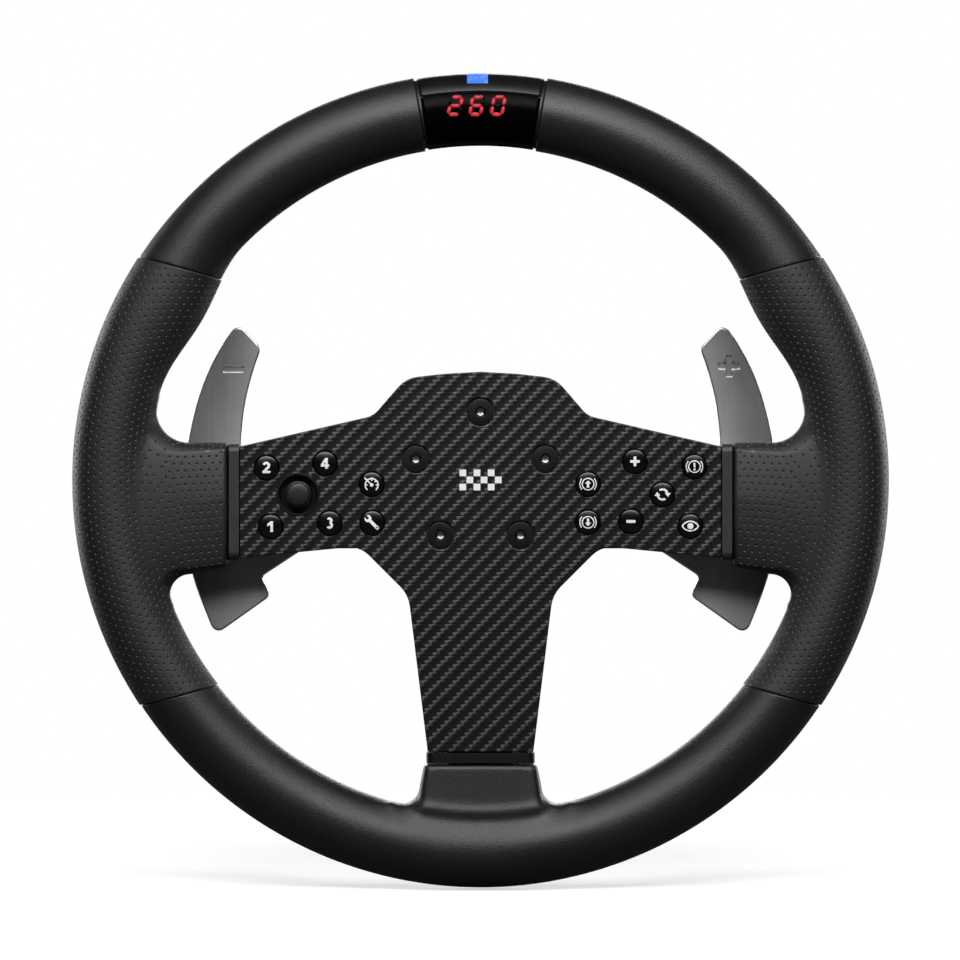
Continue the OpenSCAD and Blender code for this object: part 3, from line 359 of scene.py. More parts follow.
# %% The slab of a stub and its side edges
def slab_field(gap, deep, half_deep, rounding):
    """A rounded slab: `gap` is the distance to its outline, `deep` the distance from its mid plane."""
    qa, qd = gap + rounding, np.abs(deep) - half_deep + rounding
    return np.hypot(np.maximum(qa, 0), np.maximum(qd, 0)) + np.minimum(np.maximum(qa, qd), 0) - rounding


FADE = 0.25


def inner_side(p, radius):
    """How far from the wheel's axis the tube's inner side lies, at each point's own depth."""
    return PATH_R - np.sqrt(np.maximum(radius**2 - (RIM_Y - p[:, 1]) ** 2, (radius / 2) ** 2))


def side_gap(along, across, start, edge_start, edge_end, inner_r, fillet):
    """Distance to a spoke's side edge, which turns outwards in an arc where it meets the rim."""
    turn = np.sqrt((inner_r - fillet) ** 2 - (edge_end + fillet) ** 2)
    edge = edge_start + (edge_end - edge_start) * np.clip((along - start) / (turn - start), 0, 1)
    arc = fillet - np.hypot(along - turn, across - edge_end - fillet)
    lean = np.arctan2(edge_end + fillet, turn)
    past_arc = (across * np.cos(lean) - along * np.sin(lean)) * FADE
    return np.maximum(np.where(along < turn, across - edge, arc), past_arc)


def flare(along, edge_at, inner_r, fillet):
    """How far a stub's edge has turned outwards where it runs into the rim."""
    turn = math.sqrt((inner_r - fillet) ** 2 - (abs(edge_at) + fillet) ** 2)
    end = turn * inner_r / (inner_r - fillet)
    over = np.clip(along, turn, end) - turn
    return fillet - np.sqrt(np.maximum(fillet**2 - over**2, 0))


print(f"an edge 14 mm off the spoke's middle has turned {flare(122.0, 14.0, 122.0, 12.0):.2f} mm at the rim")

# %% [markdown]
# The numbers of the grip: where the stub's upper and lower edges run, how its face rises towards
# the rim, and where the thumb swell sits. The stub's front stands a little above the button plate.

# %% The grip's field
GRIP_INNER_R = PATH_R - GRIP_R
STUB_X = low("grip_right")[0]
PLATE_Y = low("face_plate")[1]
COVER_Y = high("rear_cover")[1]
STUB_TOP, STUB_LOW, STUB_DROP = 13.8, -31.9, 2.8
TOP_FILLET, LOW_FILLET = 12.0, 7.5
STUB_ROUND, STUB_END_ROUND = 8.5, 2.0
STUB_PROUD, STUB_BEHIND, FACE_RISE, REAR_RISE = 0.8, 0.4, 2.2, 4.0
STUB_OVERLAP = 3
THUMB_TALL, THUMB_AT, THUMB_REACH, THUMB_LEAN = 4.3, 30.0, 15.0, math.radians(18)
CRISP = 0.7


def thumb_swell(p, around, toward):
    angle = np.degrees(np.arctan2(p[:, 2], np.abs(p[:, 0])))
    along = np.clip(np.abs(angle - THUMB_AT) / THUMB_REACH, 0, 1)
    inward = ((1 - np.cos(np.arctan2(toward, around) - THUMB_LEAN)) / 2) ** 2
    return THUMB_TALL * (1 + np.cos(math.pi * along)) / 2 * inward


def stub_faces(way):
    """Depths of a stub's front and rear, from its foot (0) to the tube's middle (1)."""
    return PLATE_Y - STUB_PROUD - FACE_RISE * way, COVER_Y - STUB_BEHIND - REAR_RISE * way


def stub_edges(x):
    drop = STUB_DROP * np.clip((x - STUB_X) / (GRIP_INNER_R - STUB_X - 6), 0, 1)
    top = STUB_TOP + flare(x, STUB_TOP, GRIP_INNER_R, TOP_FILLET)
    bottom = STUB_LOW - drop - flare(x, STUB_LOW - STUB_DROP, GRIP_INNER_R, LOW_FILLET)
    return top, bottom, *stub_faces((x - STUB_X) / (PATH_R - STUB_X))


def stub_field(p):
    x = np.abs(p[:, 0])
    top, bottom, front, rear = stub_edges(x)
    inner_r = inner_side(p, GRIP_R)
    upper = side_gap(x, p[:, 2], STUB_X, STUB_TOP, STUB_TOP, inner_r, TOP_FILLET)
    lower = side_gap(x, -p[:, 2], STUB_X, -STUB_LOW, STUB_DROP - STUB_LOW, inner_r, LOW_FILLET)
    body = slab_field(
        np.maximum(upper, lower), p[:, 1] - (front + rear) / 2, (rear - front) / 2, STUB_ROUND
    )
    body = soft_cut(body, STUB_X - x, STUB_END_ROUND)
    return np.maximum(body, x - PATH_R + STUB_OVERLAP)


def valley(p, deepest):
    """How soft the join of tube and stub is: soft in front and behind, crisp where they run on."""
    return CRISP + (deepest - CRISP) * np.clip(np.abs(RIM_Y - p[:, 1]) / 7, 0, 1)


def grip_field(p):
    return soft_union(tube_field(p, GRIP_R, thumb_swell), stub_field(p), valley(p, 3.2))


print(f"the grip's stub is {STUB_TOP - STUB_LOW:.1f} mm tall and {COVER_Y - PLATE_Y:.1f} mm deep")

# %% [markdown]
# ## From a field to a mesh
# Sampling the field on a grid and joining the cells where it changes sign gives a mesh of even
# squares ("surface nets"). Every point is then slid along the field's slope until it lies on the
# surface exactly, so a coarse grid still gives a true shape.

# %% Slide points onto a surface
def slope(field, p, step=0.02):
    out = np.empty_like(p)
    for axis in range(3):
        push = np.zeros(3)
        push[axis] = step
        out[:, axis] = field(p + push) - field(p - push)
    return out / np.maximum(np.linalg.norm(out, axis=1, keepdims=True), 1e-12)


def settle(field, p, rounds=4):
    for _ in range(rounds):
        p = p - slope(field, p) * field(p)[:, None]
    return p


def ball(p):
    """A ball of 10 mm to try the tools on."""
    return np.linalg.norm(p, axis=1) - 10


print("slid onto a ball of 10 mm:", settle(ball, np.array([[7.0, 1.0, 0.0]])).round(3))

# %% [markdown]
# The net itself has two halves. First every grid cell that the surface passes through gets one
# point, at the mean of the places where the surface crosses the cell's edges. Then every crossed
# edge becomes a square between its four cells. Marching cubes would do it too, but it leaves thin
# triangles, and those shade badly on a glossy skin.

# %% Surface nets
def surface_net(field, start, end, pitch):
    axes = [np.arange(a, b + pitch, pitch) for a, b in zip(start, end)]
    grid = np.stack(np.meshgrid(*axes, indexing="ij"), -1)
    value = field(grid.reshape(-1, 3)).reshape(grid.shape[:3])
    inside = value < 0
    corners = [(i, j, k) for i in (0, 1) for j in (0, 1) for k in (0, 1)]
    cells = tuple(n - 1 for n in value.shape)

    def corner(array, c):
        return array[c[0]:c[0] + cells[0], c[1]:c[1] + cells[1], c[2]:c[2] + cells[2]]

    count = sum(corner(inside, c).astype(int) for c in corners)
    active = (count > 0) & (count < 8)
    total, weight = np.zeros(cells + (3,)), np.zeros(cells)
    for a in corners:
        for axis in range(3):
            if a[axis] == 0:
                b = tuple(1 if i == axis else v for i, v in enumerate(a))
                va, vb = corner(value, a), corner(value, b)
                cross = (va < 0) != (vb < 0)
                t = np.where(cross, va / np.where(va == vb, 1, va - vb), 0)[..., None]
                spot = corner(grid, a) * (1 - t) + corner(grid, b) * t
                total += np.where(cross[..., None], spot, 0)
                weight += cross
    index = -np.ones(cells, int)
    index[active] = np.arange(active.sum())
    points = total[active] / weight[active][:, None]
    faces = []
    for axis in range(3):
        u, w = (axis + 1) % 3, (axis + 2) % 3
        one = [slice(None)] * 3
        two = [slice(None)] * 3
        one[axis], two[axis] = slice(0, -1), slice(1, None)
        cross = inside[tuple(one)] != inside[tuple(two)]
        spots = np.argwhere(cross)
        spots = spots[(spots[:, u] > 0) & (spots[:, w] > 0)]
        spots = spots[(spots[:, u] < cells[u]) & (spots[:, w] < cells[w])]
        quad = []
        for du, dw in ((1, 1), (0, 1), (0, 0), (1, 0)):
            cell = spots.copy()
            cell[:, u] -= du
            cell[:, w] -= dw
            quad.append(index[tuple(cell.T)])
        quad = np.stack(quad, 1)
        flip = ~inside[tuple(spots.T)]
        quad[flip] = quad[flip][:, ::-1]
        faces.append(quad[(quad >= 0).all(1)])
    return settle(field, points), np.concatenate(faces)


print("a ball as a coarse net:", len(surface_net(ball, (-12,) * 3, (12,) * 3, 2.0)[0]), "points")

# %% [markdown]
# The squares come out uneven where the surface runs slantwise through the grid. Moving every point
# towards the mean of its neighbours evens them out, and a slide puts it back on the surface.

# %% Even out the squares
def relaxed(field, points, faces, rounds=3):
    """Evens out the squares without leaving the surface."""
    edges = np.concatenate([faces[:, [i, (i + 1) % 4]] for i in range(4)])
    degree = np.bincount(edges[:, 0], minlength=len(points)) + np.bincount(
        edges[:, 1], minlength=len(points)
    )
    for _ in range(rounds):
        total = np.zeros_like(points)
        np.add.at(total, edges[:, 0], points[edges[:, 1]])
        np.add.at(total, edges[:, 1], points[edges[:, 0]])
        points = settle(field, points * 0.5 + total / degree[:, None] * 0.5, 2)
    return points


net = surface_net(ball, (-12,) * 3, (12,) * 3, 2.0)
print(
    "furthest from the ball after evening out:", f"{np.abs(ball(relaxed(ball, *net))).max():.4f} mm"
)

# %% [markdown]
# ## Punching the holes
# The grips are punched with pits about a millimetre wide, in staggered rows that follow the tube
# and fan out over the stub. A pit is real shape here: around each spot the mesh is opened and
# filled again with rings of points that step down to the bottom. Bump could fake the pits, but
# real ones keep their shape and their real shading at every angle and in the printed mesh. Their
# darkest insides are painted shade as well, a near-black finish on the bottom faces. On the tube
# the rows run round the rim, each shifted by half a step from the last.

# %% Where the tube's pits go
PIT_PITCH, PIT_ROW = 2.87, 2.43
PIT_R, PIT_DEEP = 0.48, 0.42
PITS_HALF_ROW = 40
SEAM_TILT = math.radians(15)
SEAM_HIGH, SEAM_LOW, SEAM_HALF_GAP = 46.6, 47.7, 0.15


def seam_room(p):
    """Distances inside the grip's upper and lower seams."""
    x, z = np.abs(p[:, 0]), p[:, 2]
    upper = SEAM_HIGH - (z * math.cos(SEAM_TILT) - x * math.sin(SEAM_TILT))
    lower = SEAM_LOW + (z * math.cos(SEAM_TILT) + x * math.sin(SEAM_TILT))
    return upper, lower


def tube_pits():
    rows = round(2 * math.pi * GRIP_R / PIT_ROW / 2) * 2
    step = PIT_PITCH / PATH_R
    out = []
    for row in range(rows):
        t = 2 * math.pi * row / rows
        angles = np.arange(-PITS_HALF_ROW, PITS_HALF_ROW) * step + (row % 2) * step / 2
        r = PATH_R + GRIP_R * math.cos(t)
        y = np.full_like(angles, RIM_Y - GRIP_R * math.sin(t))
        out.append(np.stack([r * np.cos(angles), y, r * np.sin(angles)], 1))
    return np.concatenate(out)


print("places for pits on a grip's tube:", len(tube_pits()))

# %% [markdown]
# On the stub the pits stand in columns across the spoke. Each column's places are spread evenly
# along a loop round the stub, so they wrap over its edges as they do on the moulding.

# %% Where the stub's pits go
STUB_COLUMN = 56


def stub_pits():
    out = []
    for column, x in enumerate(np.arange(STUB_X + 2.4, PATH_R - 6, PIT_PITCH / 2)):
        top, bottom, front, rear = (float(v[0]) for v in stub_edges(np.array([x])))
        half_z, half_y = (top - bottom) / 2, (rear - front) / 2
        turns = np.linspace(0, 2 * math.pi, 721)[:-1]
        across, deep = np.cos(turns) * half_z * 2, np.sin(turns) * half_y * 2
        loop = np.stack([np.clip(across, -half_z, half_z), np.clip(deep, -half_y, half_y)], 1)
        length = np.concatenate(
            [[0], np.cumsum(np.linalg.norm(np.diff(loop, axis=0, append=loop[:1]), axis=1))]
        )
        share = (np.arange(STUB_COLUMN) + 0.25)[column % 2::2] / STUB_COLUMN
        z, y = (np.interp(share * length[-1], length[:-1], loop[:, i]) for i in (0, 1))
        out.append(
            np.stack([np.full(len(z), x), (front + rear) / 2 + y, (top + bottom) / 2 + z], 1)
        )
    return np.concatenate(out)


print("places for pits on a stub:", len(stub_pits()))

# %% [markdown]
# All places are slid onto the grip's real surface. Those of the tube that fall on the stub are
# dropped, and the other way round. Then they are taken one by one, and each must be far enough
# from the seams, from the collar and from all that are already kept.

# %% Which pits are kept
PIT_APART, PIT_TO_SEAM, PIT_TO_JOIN, PIT_TO_COLLAR = 2.1, 1.6, 0.9, 1.8


def pit_spots():
    on_tube = settle(grip_field, tube_pits(), 6)
    on_stub = settle(grip_field, stub_pits(), 8)
    on_tube = on_tube[stub_field(on_tube) > PIT_TO_JOIN]
    on_stub = on_stub[tube_field(on_stub, GRIP_R, thumb_swell) > PIT_TO_JOIN]
    on_stub = on_stub[on_stub[:, 0] > STUB_X + PIT_TO_COLLAR]
    spots = np.concatenate([on_tube, on_stub])
    upper, lower = seam_room(spots)
    kept = np.zeros((0, 3))
    for spot in spots[(upper > PIT_TO_SEAM) & (lower > PIT_TO_SEAM)]:
        if (np.linalg.norm(kept - spot, axis=1) > PIT_APART).all():
            kept = np.concatenate([kept, [spot]])
    return kept


grip_spots = pit_spots()
print("pits in one grip:", len(grip_spots))

# %% [markdown]
# A pit is a set of rings: each row below gives a ring's radius as a share of the pit's, its depth as
# a share of the pit's, and its count of points. The first ring lies outside the pit on the skin.
# `pit_axes` gives each pit its own directions: inward, and two across.

# %% The rings of a pit
RING_STEPS = ((1.22, 0.0, 9), (1.0, 0.03, 9), (0.7, 0.62, 9), (0.35, 0.95, 5))
OPENING_ROOM = 0.25


def pit_axes(field, spots):
    inward = -slope(field, spots)
    helper = np.where(np.abs(inward[:, 1:2]) > 0.9, [[1.0, 0, 0]], [[0, 1.0, 0]])
    side = np.cross(inward, helper)
    side /= np.linalg.norm(side, axis=1, keepdims=True)
    return inward, side, np.cross(inward, side)


def pit_rings(field, spots, side, up):
    rings = []
    for share, depth, count in RING_STEPS:
        turns = 2 * math.pi * (np.arange(count) + (0.5 if share < 1 else 0)) / count
        way = np.cos(turns)[:, None] * side[:, None] + np.sin(turns)[:, None] * up[:, None]
        ring = spots[:, None] + PIT_R * share * way
        rings.append((settle(field, ring.reshape(-1, 3), 2).reshape(ring.shape), depth))
    return rings


print("points in one pit:", sum(count for _, _, count in RING_STEPS) + 1)

# %% [markdown]
# The skin's points near a spot are taken away with their triangles, which opens the mesh there.
# Openings that touch are one opening with several spots, so spots are gathered into groups: each
# spot points to another of its group, and following the pointers ends at the same one for all.

# %% Open the mesh and group the spots
def opened_groups(points, triangles, spots):
    """Which triangles are taken away, and for each group its triangles and its spots."""
    tree = kdtree.KDTree(len(points))
    for i, p in enumerate(points):
        tree.insert(p, i)
    tree.balance()
    owner = -np.ones(len(points), int)
    reach = PIT_R * RING_STEPS[0][0] + OPENING_ROOM
    for s, spot in enumerate(spots):
        owner[[i for _, i, _ in tree.find_range(spot, reach)] or [tree.find(spot)[1]]] = s
    touched = owner[triangles]
    opened = (touched >= 0).any(1)
    parent = list(range(len(spots)))

    def root(a):
        while parent[a] != a:
            parent[a] = parent[parent[a]]
            a = parent[a]
        return a

    for row in touched[opened]:
        owners = [o for o in row if o >= 0]
        for o in owners[1:]:
            parent[root(owners[0])] = root(o)
    groups = {}
    for t in np.flatnonzero(opened):
        groups.setdefault(root(touched[t].max()), [[], []])[0].append(t)
    for s in range(len(spots)):
        if root(s) in groups:
            groups[root(s)][1].append(s)
    return opened, groups.values()


print("a ball's net opened at its top:", opened_groups(*net, np.array([[0, 0, 10.0]]))[0].sum(), "faces")

# %% [markdown]
# Each opening's edge is flattened into the touching plane with the points of its rings and
# triangulated there, and the new triangles take the place of the old ones.

# %% Fill the openings with pits
def punch(field, points, faces, spots):
    triangles = np.concatenate([faces[:, [0, 1, 2]], faces[:, [0, 2, 3]]])
    inward, side, up = pit_axes(field, spots)
    rings = pit_rings(field, spots, side, up)
    opened, groups = opened_groups(points, triangles, spots)
    extra, filling, shift = [], [], len(points)
    for members, owned in groups:
        edges = directed_edges(triangles[members])
        border = [(a, b) for a, b in edges if (b, a) not in edges]
        centre, n = spots[owned].mean(0), inward[owned].mean(0)
        u = side[owned[0]] - n * (side[owned[0]] @ n) / (n @ n)
        u /= np.linalg.norm(u)
        v = np.cross(n / np.linalg.norm(n), u)
        ids = sorted({i for e in border for i in e})
        local = {g: k for k, g in enumerate(ids)}
        on_skin = [points[i] for i in ids]
        for s in owned:
            for ring, depth in rings:
                on_skin += list(ring[s])
                extra += list(ring[s] + inward[s] * PIT_DEEP * depth)
            on_skin.append(spots[s])
            extra.append(spots[s] + inward[s] * PIT_DEEP)
        ids += range(shift + len(extra) - (len(on_skin) - len(ids)), shift + len(extra))
        flat = [Vector((d @ u, d @ v)) for d in np.array(on_skin) - centre]
        made = delaunay_2d_cdt(flat, [(local[a], local[b]) for a, b in border], [], 1, 1e-6)
        back = [ids[o[0]] if o else -1 for o in made[3]]
        filling += [[back[i] for i in face] for face in made[2]]
    filling = np.array(filling)
    filling = filling[(filling >= 0).all(1)]
    every = np.concatenate([points, np.array(extra)])
    a, b, c = (every[filling[:, k]] for k in range(3))
    outward = slope(field, every[filling].mean(1))
    wrong = (np.cross(b - a, c - a) * outward).sum(1) < 0
    filling[wrong] = filling[wrong][:, ::-1]
    return every, np.concatenate([triangles[~opened], filling])


def directed_edges(triangles):
    """Each edge once, in the order in which the triangles name them."""
    return dict.fromkeys((t[k], t[(k + 1) % 3]) for t in triangles.tolist() for k in range(3))


print(
    "edges of two triangles that share one:", len(directed_edges(np.array([[0, 1, 2], [2, 1, 3]])))
)

# %% [markdown]
# Where the surface bends sharply under a pit, flattening it can fold a triangle over and leave a
# tear. A printed part needs a closed skin, so the edges are counted: each must have one face on
# either side. A pit that leaves a tear is dropped and the rest are punched again.

# %% Punch without tears
def open_edges(faces):
    """Edges that lack a face on one side, or have two on the same side."""
    start, end = faces.ravel(), np.roll(faces, -1, axis=1).ravel()
    there, back = start * faces.size + end, end * faces.size + start
    found, times = np.unique(there, return_counts=True)
    odd = ~np.isin(there, back) | np.isin(there, found[times > 1])
    return set(zip(start[odd].tolist(), end[odd].tolist()))


def punch_whole(field, points, faces, spots):
    border = open_edges(faces)
    for _ in range(4):
        new_points, new_faces = punch(field, points, faces, spots)
        torn = open_edges(new_faces) - border
        print("pits:", len(spots), "torn edges:", len(torn))
        if not torn:
            break
        places = new_points[[a for a, _ in torn]]
        spots = spots[np.linalg.norm(spots[:, None] - places, axis=2).min(1) > PIT_PITCH / 2]
    return new_points, new_faces


print("open edges of a whole ball:", len(open_edges(net[1])))

# %% [markdown]
# Where two skins meet, the real seam is a crisp dark line between two softly rolled edges. The
# mesh is made a little too long and sliced with a plane. The points along the cut are then put in
# order, each with the one that follows it.

# %% Slice off an end
def sliced(points, faces, place, normal):
    """What lies behind a plane, and the loop of point numbers along the cut."""
    mesh = bpy.data.meshes.new("slice")
    mesh.from_pydata(points.tolist(), [], [list(map(int, f)) for f in faces])
    bm = bmesh.new()
    bm.from_mesh(mesh)
    bmesh.ops.bisect_plane(
        bm, geom=bm.verts[:] + bm.edges[:] + bm.faces[:], dist=1e-5,
        plane_co=place, plane_no=normal, clear_outer=True,
    )
    bm.verts.index_update()
    points = np.array([v.co for v in bm.verts])
    faces = [[v.index for v in f.verts] for f in bm.faces]
    following = {}
    for e in bm.edges:
        if len(e.link_faces) == 1 and all(abs((v.co - place).dot(normal)) < 1e-3 for v in e.verts):
            a, b = (v.index for v in e.verts)
            order = [v.index for v in e.link_faces[0].verts]
            if order[(order.index(a) + 1) % len(order)] != b:
                a, b = b, a
            following[b] = a
    bm.free()
    bpy.data.meshes.remove(mesh)
    loop = [next(iter(following))]
    while following[loop[-1]] != loop[0]:
        loop.append(following[loop[-1]])
    return points, faces, loop


half_ball = sliced(*net, Vector((0, 0, 0)), Vector((0, 0, 1)))
print("points along the cut of a halved ball:", len(half_ball[2]))

# %% [markdown]
# The open edge is rolled inwards in short steps, like the turned edge of a cuff, and then goes
# straight inwards and is closed with a flat end.

# %% Roll the edge of the cut
def rolled_end(points, faces, spot, normal, roll=0.35, deep=3.0):
    normal = np.array(normal, float) / np.linalg.norm(normal)
    points, faces, loop = sliced(
        points, faces, Vector(np.array(spot) - normal * roll), Vector(normal)
    )
    ring = points[loop]
    along = np.roll(ring, -1, 0) - np.roll(ring, 1, 0)
    inward = np.cross(along, normal)
    inward /= np.linalg.norm(inward, axis=1, keepdims=True)
    if ((ring.mean(0) - ring) * inward).sum() < 0:
        inward = -inward
    steps = [(roll * math.sin(a), roll * (1 - math.cos(a))) for a in np.radians((30, 60, 90))]
    for out, move in steps + [(roll, roll + deep)]:
        fresh = list(range(len(points), len(points) + len(loop)))
        points = np.concatenate([points, ring + normal * out + inward * move])
        faces += band(loop, fresh)
        loop = fresh
    return points, faces + [loop]


print(
    "a rolled half ball ends at", f"{rolled_end(*net, (0, 0, 0), (0, 0, 1))[0][:, 2].max():.2f} mm"
)

# %% [markdown]
# ## The grips
# On the real wheel a grip is one moulding of firm rubber over the steel core, with a swell for the
# thumb and a stub over the spoke. `skin_mesh` takes its field through all the steps above: net,
# evening out, pits, rolled ends. The right grip is made and the left one is its mirror image. A
# face's depth picks its finish: a pit's wall is painted paler, a painted highlight, and the bottom
# of a pit is painted near black, a painted shade.

# %% The two grips
def skin_mesh(field, start, end, pitch, ends, spots=None):
    points, faces = surface_net(field, start, end, pitch)
    points = relaxed(field, points, faces)
    if spots is not None:
        points, faces = punch_whole(field, points, faces, spots)
    for spot, normal in ends:
        points, faces = rolled_end(points, faces, spot, normal)
    return points, faces


GRIP_NET, RIM_NET = 0.95, 1.3
WALL_FROM, BOTTOM_FROM = 0.07, 0.2
cos_tilt, sin_tilt = math.cos(SEAM_TILT), math.sin(SEAM_TILT)
upper_seam = np.array([-sin_tilt, 0, cos_tilt])
lower_seam = np.array([-sin_tilt, 0, -cos_tilt])
grip_ends = [
    (upper_seam * (SEAM_HIGH - SEAM_HALF_GAP), upper_seam),
    (lower_seam * (SEAM_LOW - SEAM_HALF_GAP), lower_seam),
]
grip_mesh = skin_mesh(
    grip_field, (STUB_X - 3, RIM_Y - GRIP_R - 3, -92), (RIM_R + 3, RIM_Y + GRIP_R + 6, 92),
    GRIP_NET, grip_ends, grip_spots,
)
for side, mesh in (("right", grip_mesh), ("left", mirrored(*grip_mesh))):
    centres = np.array([mesh[0][list(face)].mean(0) for face in mesh[1]])
    upper, lower = seam_room(centres)
    depth = np.where((upper > 0.9) & (lower > 0.9), -grip_field(centres), 0)
    # Painted light by depth: plain skin, then the pit wall painted paler (a painted highlight), then the pit
    # bottom painted near black (painted shade).
    painted_pit_light = np.digitize(depth, (WALL_FROM, BOTTOM_FROM))
    add_piece(
        "grip_skin_" + side, *mesh, [grip_skin, painted_highlight_wall, painted_shade_black],
        stands_for=["grip_" + side], slot="perforated_grip", marks=painted_pit_light,
    )
    print("faces inside pits:", int((painted_pit_light > 0).sum()))

# %% [markdown]
# ## The smooth rim
# The rest of the rim has the same rubber without holes. The two upper parts run from a seam to the
# display pod. A plain ring would do for most of them, but near the grips they share the thumb
# swell, so they come from the same field and the skins meet without a step.

# %% The upper rim
POD_HALF, POD_GROOVE = 9.0, 0.45
POD_END = math.radians(90 - POD_HALF - POD_GROOVE)


def upper_field(p):
    return tube_field(p, TUBE_R, thumb_swell)


upper_ends = [
    (upper_seam * (SEAM_HIGH + SEAM_HALF_GAP), -upper_seam),
    ((0, RIM_Y, 0), (-math.sin(POD_END), 0, math.cos(POD_END))),
]
upper_mesh = skin_mesh(
    upper_field, (14, RIM_Y - TUBE_R - 3, 68), (132, RIM_Y + TUBE_R + 6, RIM_R + 3), RIM_NET,
    upper_ends,
)
for side, mesh in (("right", upper_mesh), ("left", mirrored(*upper_mesh))):
    add_piece(
        "upper_rim_skin_" + side, *mesh, smooth_skin, stands_for=["rim_upper_" + side],
        slot="smooth_grip",
    )

# %% [markdown]
# The lower part is one long skin that grows a stub for the bottom spoke. Along the foot of that
# stub runs a low raised lip that follows the rim, where the mould's parting shows. It is added to
# the field as a gentle ridge on the front only.

# %% The lower rim and its foot
FOOT_Z = 104.6
FOOT_HALF, FOOT_HALF_RIM, FOOT_FILLET = 20.8, 22.4, 6.5
FOOT_ROUND, FOOT_END_ROUND = 3.2, 1.4
LIP_R, LIP_TALL, LIP_WIDE = 121.8, 0.65, 2.0


def foot_field(p):
    down = -p[:, 2]
    way = (down - FOOT_Z) / (PATH_R - FOOT_Z)
    inner_r = inner_side(p, TUBE_R)
    side = side_gap(down, np.abs(p[:, 0]), FOOT_Z, FOOT_HALF, FOOT_HALF_RIM, inner_r, FOOT_FILLET)
    front, rear = stub_faces(way)
    body = slab_field(side, p[:, 1] - (front + rear) / 2, (rear - front) / 2, FOOT_ROUND)
    body = soft_cut(body, FOOT_Z - down, FOOT_END_ROUND)
    on_front = np.clip((RIM_Y - p[:, 1] - 3) / 4, 0, 1)
    body = body - LIP_TALL * on_front * np.exp(
        -(((np.hypot(p[:, 0], p[:, 2]) - LIP_R) / LIP_WIDE) ** 2)
    )
    return np.maximum(body, down - PATH_R + STUB_OVERLAP)


def no_swell(p, around, toward):
    return 0.0


def lower_field(p):
    return soft_union(tube_field(p, TUBE_R, no_swell), foot_field(p), valley(p, 3.0))


lower_right = lower_seam * (SEAM_LOW + SEAM_HALF_GAP)
lower_ends = [(lower_right, -lower_seam), (lower_right * (-1, 1, 1), -lower_seam * (-1, 1, 1))]
lower_mesh = skin_mesh(
    lower_field, (-136, RIM_Y - TUBE_R - 3, -RIM_R - 3), (136, RIM_Y + TUBE_R + 3, -68), RIM_NET,
    lower_ends,
)
add_piece("lower_rim_skin", *lower_mesh, smooth_skin, stands_for=["rim_lower"], slot="smooth_grip")

# %% [markdown]
# Each seam is a real gap, and from the side one could look through it. A short liner closes it:
# a ring just under both skins, found by walking outwards from the tube's middle until the skin's
# own field is almost reached. It is near black, a dark sheet of painted shade for the depth of the gap.

# %% Liners of painted shade under the four seams
LINER_DEEP, LINER_HALF = 0.62, 1.2


def liner(field, seam, distance, turns=72):
    """A closed ring across one seam, a little under the surface of the field."""
    along = np.array([seam[2], 0, -seam[0]]) * np.sign(seam[2])
    points = []
    for push in (-LINER_HALF, LINER_HALF):
        plane = seam * (distance + push)
        reach = math.sqrt(PATH_R**2 - (distance + push) ** 2)
        centre = plane + along * reach + (0, RIM_Y, 0)
        angles = even_turns(turns)
        way = np.cos(angles)[:, None] * along + np.sin(angles)[:, None] * (0, -1.0, 0)
        near, away = np.full(turns, 4.0), np.full(turns, 26.0)
        for _ in range(24):
            half = (near + away) / 2
            inside = field(centre + way * half[:, None]) < -LINER_DEEP
            near, away = np.where(inside, half, near), np.where(inside, away, half)
        points.append(centre + way * near[:, None])
    points, faces = np.concatenate(points), lofted(2, turns)
    a, b, c = points[0], points[1], points[turns]
    if np.cross(b - a, c - a) @ (a - points.mean(0)) < 0:
        faces = [face[::-1] for face in faces]
    return points, faces


def plain_tube(p):
    return tube_field(p, TUBE_R, no_swell)


liners = []
for field, seam, distance in (
    (upper_field, upper_seam, SEAM_HIGH), (plain_tube, lower_seam, SEAM_LOW),
):
    right = liner(field, seam, distance)
    liners += [right, mirrored(*right)]
# The liners are painted shade: a near-black sheet standing for the dark depth of each seam gap.
add_piece("seam_shade_liners", *joined(*liners), painted_shade_black, slot="perforated_grip")

# %% [markdown]
# ## Flat parts read from the frame
# The button plate and the paddles are cut from sheet. Their outlines and holes are already drawn
# in the frame, so they aren't drawn twice. `front_loops` takes a node's faces that lie in one plane
# and follows their free edges round: the longest loop is the outline and the others are holes.

# %% Read the loops of a flat face
def node_points(node):
    return np.array([v.co for v in frame["nodes"][node].data.vertices]) / MM


def front_loops(node, y):
    keys, first = {}, []
    for p in np.round(node_points(node), 3):
        first.append(keys.setdefault(tuple(p), len(keys)))
    places = np.array(list(keys))
    edges = set()
    for face in frame["nodes"][node].data.polygons:
        ids = [first[i] for i in face.vertices]
        if all(abs(places[i][1] - y) < 0.02 for i in ids):
            edges |= {(ids[k], ids[(k + 1) % len(ids)]) for k in range(len(ids))}
    following = {a: b for a, b in edges if (b, a) not in edges}
    loops = []
    while following:
        loop = [next(iter(following))]
        while loop[-1] in following:
            loop.append(following.pop(loop[-1]))
        loops.append(places[loop[:-1]][:, [0, 2]])
    return sorted(loops, key=lambda loop: -np.ptp(loop[:, 0]))


def counterclockwise(loop):
    x, z = loop.T
    area = (x * np.roll(z, -1) - np.roll(x, -1) * z).sum()
    return loop if area > 0 else loop[::-1]


def evened(loop, step):
    """The same outline with points no further apart than step."""
    out = []
    for a, b in zip(loop, np.roll(loop, -1, 0)):
        parts = max(1, math.ceil(np.linalg.norm(b - a) / step))
        out += [a + (b - a) * k / parts for k in range(parts)]
    return np.array(out)


print("loops on the plate's front:", len(front_loops("face_plate", low("face_plate")[1])))

